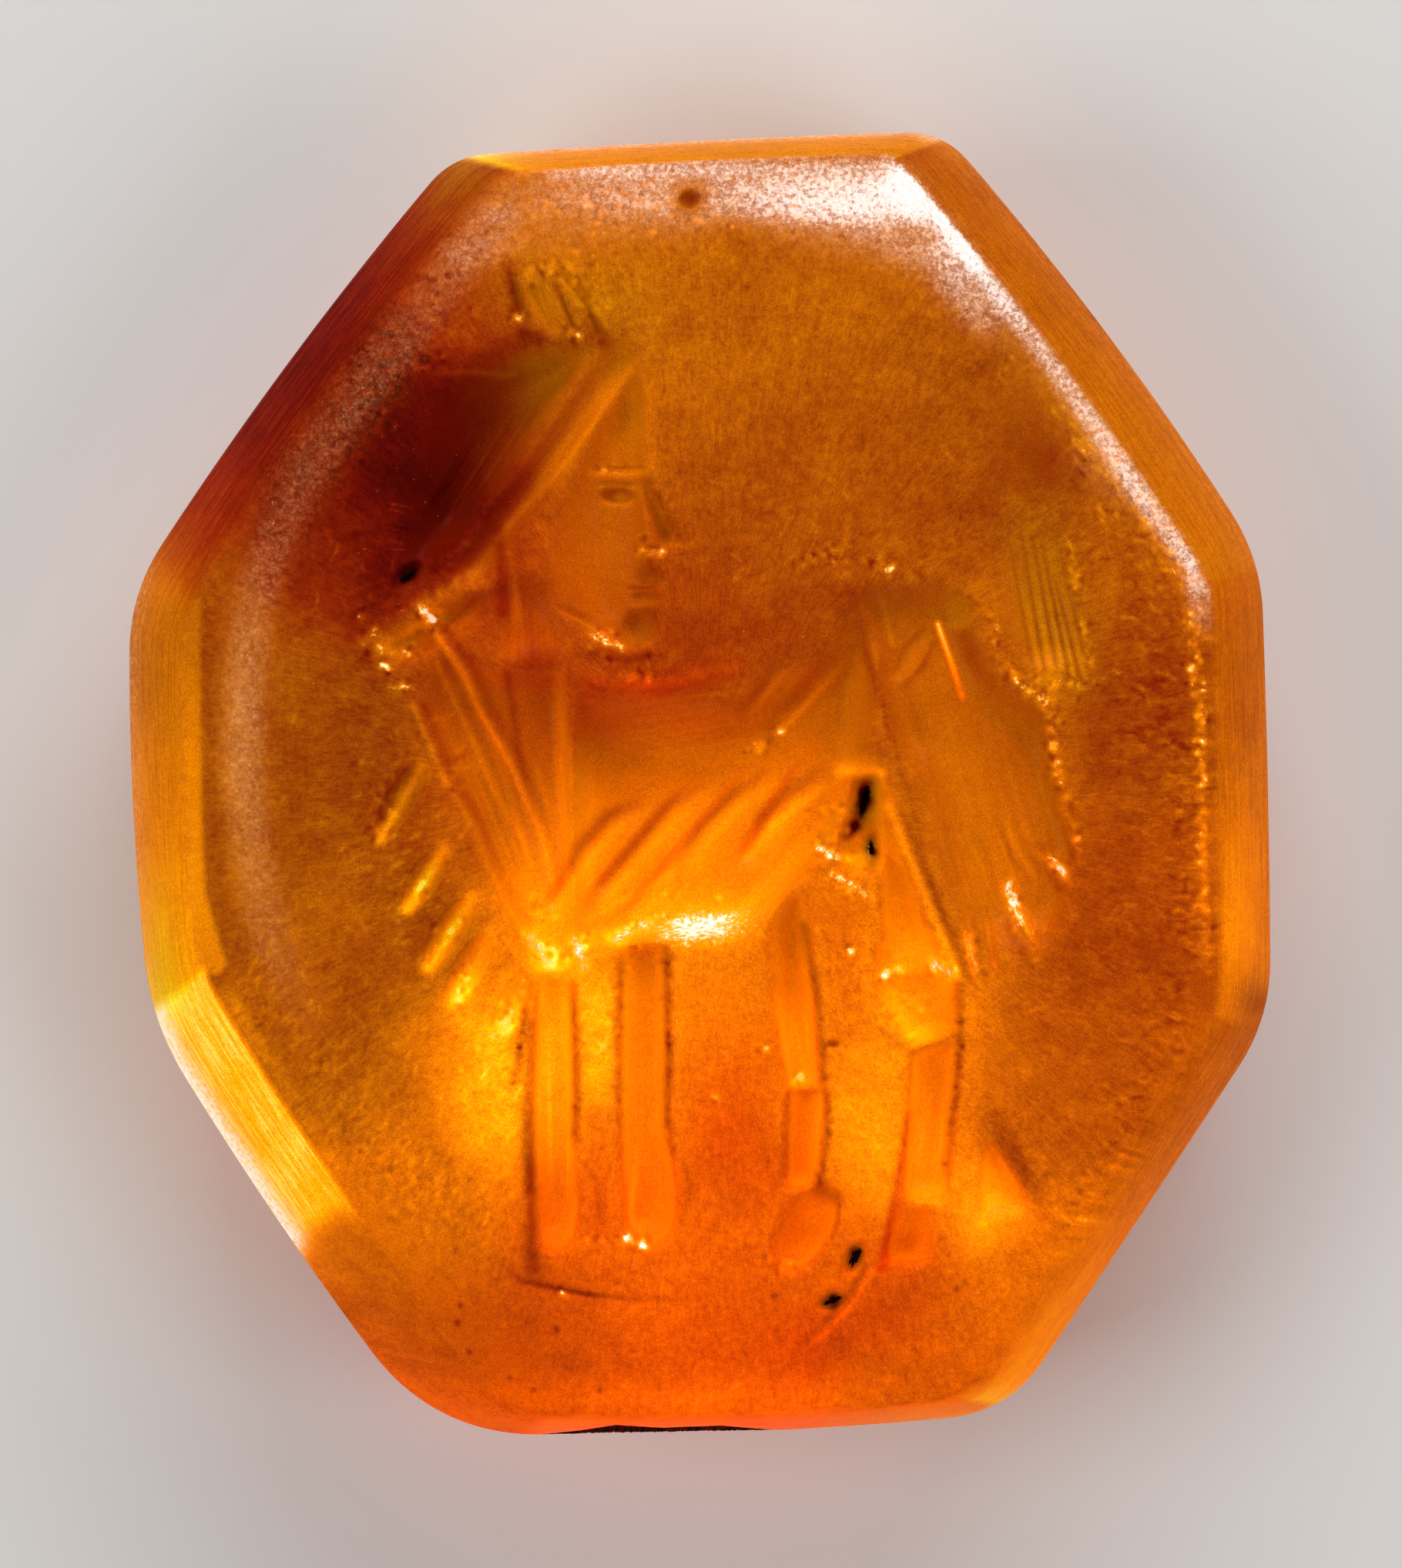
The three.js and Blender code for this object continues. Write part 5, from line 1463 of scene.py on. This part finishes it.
class Graph:
    """A material's nodes, wired by short calls."""

    def __init__(self, name):
        self.material = bpy.data.materials.new(name)
        self.material.use_nodes = True
        self.tree = self.material.node_tree

    def put(self, socket, value):
        if isinstance(value, bpy.types.NodeSocket):
            self.tree.links.new(value, socket)
        else:
            socket.default_value = value

    def fill(self, node, inputs):
        """Sets a node's inputs, given in their order or by name."""
        pairs = inputs.items() if isinstance(inputs, dict) else enumerate(inputs)
        for key, value in pairs:
            self.put(node.inputs[key], value)

    def finish(self, inputs):
        self.fill(self.tree.nodes["Principled BSDF"], inputs)
        return self.material

    def node(self, kind, inputs=(), **settings):
        """The outputs of a new node."""
        made = self.tree.nodes.new("ShaderNode" + kind)
        for key, value in settings.items():
            setattr(made, key, value)
        self.fill(made, inputs)
        return made.outputs

    def math(self, operation, *values):
        return self.node("Math", values, operation=operation)[0]

    def product(self, first, second):
        return self.math("MULTIPLY", first, second)

    def scaled(self, value, factor, offset=0):
        return self.math("MULTIPLY_ADD", value, factor, offset)

    def summed(self, total, waves):
        """A value and some waves round 0.5, each by its own strength."""
        for wave, strength in waves:
            total = self.math("ADD", total, self.product(self.math("SUBTRACT", wave, 0.5), strength))
        return total

    def spread(self, value, low, high, to_low=0, to_high=1):
        return self.node("MapRange", (value, low, high, to_low, to_high), interpolation_type="SMOOTHSTEP")[0]

    def noise(self, vector, scale, detail=2, roughness=0.5, distortion=0, output="Fac"):
        inputs = {"Vector": vector, "Scale": scale, "Detail": detail, "Roughness": roughness}
        return self.node("TexNoise", {**inputs, "Distortion": distortion})[output]

    def flakes(self, vector, scale):
        """Ragged flakes of 1 with cracks of 0 between them."""
        ripple = self.noise(vector, scale * 1.3, output="Color")
        bend = (2.4 / scale, 2.4 / scale, 2.4 / scale)
        bent = self.node("VectorMath", (ripple, bend, vector), operation="MULTIPLY_ADD")[0]
        cells = self.node("TexVoronoi", {"Vector": bent, "Scale": scale}, feature="DISTANCE_TO_EDGE")
        return self.spread(cells["Distance"], 0, 0.3)

    def mix(self, share, first, second):
        return self.node("Mix", {0: share, 6: first, 7: second}, data_type="RGBA")[2]

    def colours(self, value, stops):
        outputs = self.node("ValToRGB", (value,))
        elements = outputs[0].node.color_ramp.elements
        while len(elements) < len(stops):
            elements.new(0.5)
        for element, (place, colour) in zip(elements, stops):
            element.position = place
            element.color = linear(colour)
        return outputs[0]

    def parts(self, colour):
        return self.node("SeparateColor", (colour,))

    def attribute(self, name):
        return self.node("Attribute", attribute_name=name)

    def place(self):
        return self.node("TexCoord")["Object"]

    def bump(self, height, strength, distance):
        return self.node("Bump", {"Height": height, "Strength": strength, "Distance": distance})[0]


# Colours of the stone's tone, from its darkest to the brightest painted glow
GLOW_COLOURS = [
    (0, (66, 4, 2)),
    (0.12, (98, 12, 2)),
    (0.25, (134, 36, 3)),
    (0.38, (161, 66, 3)),
    (0.5, (188, 88, 3)),
    (0.62, (218, 104, 2)),
    (0.74, (243, 124, 2)),
    (0.84, (254, 147, 2)),
    (0.93, (254, 177, 6)),
    (1, (255, 214, 80)),
]
# Colours of the painted sheen on frosted places, from faint to full
FROST_SHEEN_COLOURS = [
    (0.15, (212, 110, 40)),
    (0.35, (230, 158, 100)),
    (0.6, (248, 206, 176)),
    (1, (255, 248, 242)),
]
# Colours of the painted glints, from a warm halo to a white core
GLINT_LIGHT_COLOURS = [
    (0.7, (255, 146, 20)),
    (0.88, (255, 186, 84)),
    (1, (255, 244, 226)),
]


# Cells per metre of the stone's grain, and the depth of its roughness in metres
BROAD_SCALE = 900
MOTTLE_SCALE = 2700
FLAKE_SCALE = 9000
GRIT_SCALE = 11000
SPECK_SCALE = 15000
FINE_GRIT_SCALE = 42000
ROUGHNESS_DEPTH = 0.00003
# How far the tool lines of the bevels are drawn out along them
LINE_STRETCH = (0.9, 24, 1)


def stone_colour(graph, grit, fine_grit):
    """The stone's colour with its painted glow and grain, before the frost sheen."""
    tones = graph.attribute("tone")
    glow, redness, green = graph.parts(tones["Color"])[:3]
    polished, bevelled, _ = graph.parts(graph.attribute("wear_and_glints")["Color"])[:3]
    unpolished = graph.math("SUBTRACT", 1, polished)
    place = graph.place()
    grain = graph.attribute("grain")["Vector"]
    lines = graph.noise(graph.node("Mapping", {"Vector": grain, "Scale": LINE_STRETCH})[0], 1, 4, 0.7)
    tinted = graph.parts(graph.colours(graph.summed(glow, [
        (graph.noise(place, MOTTLE_SCALE, 3, 0.6), graph.scaled(unpolished, 0.1, 0.05)),
        (lines, graph.scaled(bevelled, 0.44)),
        (graph.noise(place, BROAD_SCALE, 3, 0.5), 0.08),
    ]), GLOW_COLOURS))
    texture = graph.summed(0, [
        (graph.noise(grain, 1, 3, 0.6, 1.4), graph.product(unpolished, graph.scaled(glow, -0.9, 1.1))),
        (grit, graph.scaled(unpolished, 0.4, 0.3)),
        (fine_grit, 0.9),
    ])
    texture = graph.scaled(texture, graph.scaled(tones["Alpha"], -0.7, 1), 1)
    texture = graph.math("MAXIMUM", texture, 0.3)
    green_share = graph.product(graph.scaled(redness, -0.66, 1), graph.scaled(green, 0.3, 1))
    return graph.node("CombineColor", (
        graph.product(graph.product(tinted[0], graph.scaled(green, -0.12, 1)), texture),
        graph.product(graph.product(tinted[1], green_share), graph.math("POWER", texture, 1.6)),
        tinted[2],
    ))[0]


def carnelian_material():
    graph = Graph("carnelian_glow")
    place = graph.place()
    frost_sheen_amount = graph.attribute("tone")["Alpha"]
    polished, _, glint_light_share = graph.parts(graph.attribute("wear_and_glints")["Color"])[:3]
    unpolished = graph.math("SUBTRACT", 1, polished)
    grit = graph.noise(place, GRIT_SCALE, 4, 0.65)
    fine_grit = graph.noise(place, FINE_GRIT_SCALE, 2, 0.6)
    speck = graph.noise(place, SPECK_SCALE, 3, 0.7)
    flakes = graph.flakes(place, FLAKE_SCALE)
    # Frosted places whiten with painted sheen, in specks and a haze over the stone's colour
    frosted_sheen = graph.spread(graph.math("ADD", graph.scaled(frost_sheen_amount, 0.42), speck), 0.68, 0.94)
    sheen_specks = graph.product(frosted_sheen, graph.scaled(frost_sheen_amount, 0.75, 0.25))
    uneven = graph.product(graph.scaled(grit, 2.4, -0.7), graph.scaled(flakes, 0.8, 0.4))
    sheen_haze = graph.math("MAXIMUM", sheen_specks, graph.product(frost_sheen_amount, uneven))
    sheen_haze = graph.math("MINIMUM", sheen_haze, graph.scaled(flakes, 0.3, 0.72))
    with_sheen_haze = graph.mix(sheen_haze, stone_colour(graph, grit, fine_grit), graph.colours(frost_sheen_amount, FROST_SHEEN_COLOURS))
    # Painted glints where the glint light and the specks are strong
    spark = graph.math("ADD", graph.scaled(glint_light_share, 0.4), speck)
    final = graph.mix(graph.spread(spark, 0.68, 0.9), with_sheen_haze, graph.colours(spark, GLINT_LIGHT_COLOURS))
    gloss = graph.spread(unpolished, 0, 1, 0.3, 0.52)
    height = graph.math("ADD", grit, graph.product(fine_grit, 0.5))
    # The colour goes out again as emission: a painted glow, as if the stone were lit from behind
    return graph.finish({
        "Base Color": final,
        "Emission Color": final,
        "Emission Strength": 0.42,
        "Roughness": graph.math("ADD", gloss, graph.product(frosted_sheen, 0.3)),
        "Specular IOR Level": 0.012,
        "Normal": graph.bump(height, graph.spread(unpolished, 0, 1, 0.08, 0.35), ROUGHNESS_DEPTH),
    })


def dark_matter_material(name, dark, light, scale):
    graph = Graph(name)
    lumps = graph.noise(graph.place(), scale, 5, 0.65)
    return graph.finish({
        "Base Color": graph.colours(lumps, [(0.35, dark), (0.7, light)]),
        "Roughness": graph.spread(lumps, 0.3, 0.7, 0.6, 0.95),
        "Specular IOR Level": 0.05,
        "Normal": graph.bump(lumps, 0.6, 0.00004),
    })


# What is lodged in the stone

def closed_shell(name, first, rings, last):
    """An object of rings of points, closed by a point at each end."""
    count = len(rings[0])
    start = 1 + (len(rings) - 1) * count
    triangles = [
        fan(1, count, 0)[:, [1, 0, 2]],
        *[band(1 + row * count, 1 + (row + 1) * count, count) for row in range(len(rings) - 1)],
        fan(start, count, start + count),
    ]
    return mesh_object(name, np.concatenate([[first], *rings, [last]]), np.concatenate(triangles))


# A lump's points round a ring and its rings, how much it fills out towards a box across and
# upwards, and how far its top is pitted
LUMP_SIDES = 72
LUMP_ROWS = 14
LUMP_WIDENING = 1.25
LUMP_HEIGHTENING = 1.1
LUMP_PITTING = 0.05


def lump(name, node, material, seed, width_share):
    """An irregular closed lump that fills a pit's CAD node, uneven on top."""
    random = np.random.default_rng(seed)
    world = np.array([vertex.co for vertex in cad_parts[node].data.vertices]) / MM
    middle = world.mean(axis=0)[:2]
    flat = world[:, :2] - middle
    long_axis = np.linalg.eigh(flat.T @ flat)[1][:, 1]
    short_axis = np.array([-long_axis[1], long_axis[0]])
    half_long = np.abs(flat @ long_axis).max()
    half_short = np.abs(flat @ short_axis).max() * width_share
    low, high = world[:, 2].min(), world[:, 2].max()
    angles = np.linspace(0, 2 * math.pi, LUMP_SIDES, endpoint=False)
    waves = sum(random.uniform(0.3, 1) * np.sin(wave * angles + random.uniform(0, 6))
                for wave in (2, 3, 5, 8, 13, 19))
    edge = 1 - np.minimum(np.abs(waves), 2) / 4
    rings = []
    for row in range(1, LUMP_ROWS + 1):
        turn = math.pi * row / (LUMP_ROWS + 1)
        share = min(1, LUMP_WIDENING * math.sin(turn)) * edge
        up = max(-1, min(1, LUMP_HEIGHTENING * math.cos(turn)))
        height = (low + high) / 2 + (high - low) / 2 * up
        x = np.cos(angles) * share * half_long
        y = np.sin(angles) * share * half_short
        spot = x[:, None] * long_axis + y[:, None] * short_axis + middle
        uneven = random.uniform(-1, 0, LUMP_SIDES) * (LUMP_PITTING if row < LUMP_ROWS / 2 else 0)
        rings.append(np.column_stack([spot, height + uneven]))
    item = closed_shell(name, [*middle, high - 0.02], rings, [*middle, low])
    item.data.materials.append(material)
    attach(item, "root")
    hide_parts(node)


def fills():
    material = dark_matter_material("packed_dirt", (9, 5, 4), (46, 26, 15), 22000)
    pieces = [
        ["shoulder_dirt_upper", "shoulder_fill_upper", 3, 0.6],
        ["shoulder_dirt_lower", "shoulder_fill_lower", 4, 0.7],
        ["hoof_dirt_upper", "hoof_fill_upper", 5, 0.6],
        ["hoof_dirt_lower", "hoof_fill_lower", 6, 0.6],
        ["nape_dirt", "nape_fill", 7, 0.7],
    ]
    for name, node, seed, width_share in pieces:
        lump(name, node, material, seed, width_share)


def crust():
    """A rough dark skin that fills the chip in the lower edge."""
    random = np.random.default_rng(8)
    steps, sides = 160, 32
    turn = np.linspace(0, 2 * math.pi, sides, endpoint=False)
    across_share, up_share = [np.sign(wave) * np.abs(wave) ** 0.4 / 2 + 0.5
                              for wave in (np.cos(turn), np.sin(turn))]
    rings = []
    for share in np.linspace(0.985, 0.015, steps):
        rough = random.uniform(0, 0.2, sides)
        across = chip_wall(share) * (across_share + rough * (1 - across_share))
        reach = crust_reach(share) * random.uniform(0.84, 1) * (CHIP_TOP - CHIP_FOOT) / 2
        height = CHIP_MIDDLE + reach * (2 * up_share - 1) * (1 - rough)
        spot = CHIP_START + CHIP_WAY * share * CHIP_LENGTH + across[:, None] * CHIP_INWARD
        rings.append(np.column_stack([spot, height]))
    item = closed_shell("burnt_crust", rings[0].mean(axis=0), rings, rings[-1].mean(axis=0))
    item.data.materials.append(dark_matter_material("burnt_skin", (16, 6, 4), (104, 30, 10), 9000))
    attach(item, "root")
    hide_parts("edge_crust")


# Camera, floor and light

FLOOR_HALF = 600
FLOOR_GAP = 0.02


def linked(name, data):
    item = bpy.data.objects.new(name, data)
    bpy.context.scene.collection.objects.link(item)
    return item


def camera():
    lens = bpy.data.cameras.new("photo_camera")
    lens.lens = 250
    lens.sensor_width = 36
    lens.clip_start = 0.001
    lens.clip_end = 10
    item = linked("photo_camera", lens)
    distance = PHOTO_HEIGHT * MM_PER_PX * lens.lens / lens.sensor_width
    centre = from_px([(PHOTO_WIDTH / 2, PHOTO_HEIGHT / 2)])[0]
    item.location = Vector((centre[0], centre[1], GIRDLE_TOP + distance)) * MM
    bpy.context.scene.camera = item


def floor():
    half = FLOOR_HALF
    corners = np.array([[-half, -half, 0], [half, -half, 0], [half, half, 0], [-half, half, 0]])
    item = mesh_object("floor", corners, np.array([[0, 1, 2], [0, 2, 3]]))
    item.location.z = -FLOOR_GAP * MM
    graph = Graph("pale_floor")
    look = {"Base Color": (0.8, 0.79, 0.77, 1), "Roughness": 0.9, "Specular IOR Level": 0.1}
    item.data.materials.append(graph.finish(look))


def area_light(name, place, size, power):
    data = bpy.data.lights.new(name, "AREA")
    data.shape = "RECTANGLE"
    data.size, data.size_y = size
    data.energy = power
    item = linked(name, data)
    item.location = place
    item.rotation_euler = (-Vector(place)).to_track_quat("-Z", "Y").to_euler()


def lights():
    area_light("north_light", (0.02, 0.11, 0.06), (0.12, 0.05), 0.13)
    area_light("left_light", (-0.1, -0.02, 0.09), (0.08, 0.08), 0.065)
    area_light("right_light", (0.1, -0.05, 0.1), (0.08, 0.08), 0.055)
    area_light("south_light", (0, -0.11, 0.02), (0.12, 0.03), 0.03)
    world = bpy.data.worlds.new("soft_room")
    world.use_nodes = True
    background = world.node_tree.nodes["Background"]
    background.inputs[0].default_value = (1, 0.98, 0.96, 1)
    background.inputs[1].default_value = 0.1
    bpy.context.scene.world = world
    bpy.context.scene.view_settings.view_transform = "Standard"


engrave()
finish_fields()
camera()
stone()
fills()
crust()
floor()
lights()
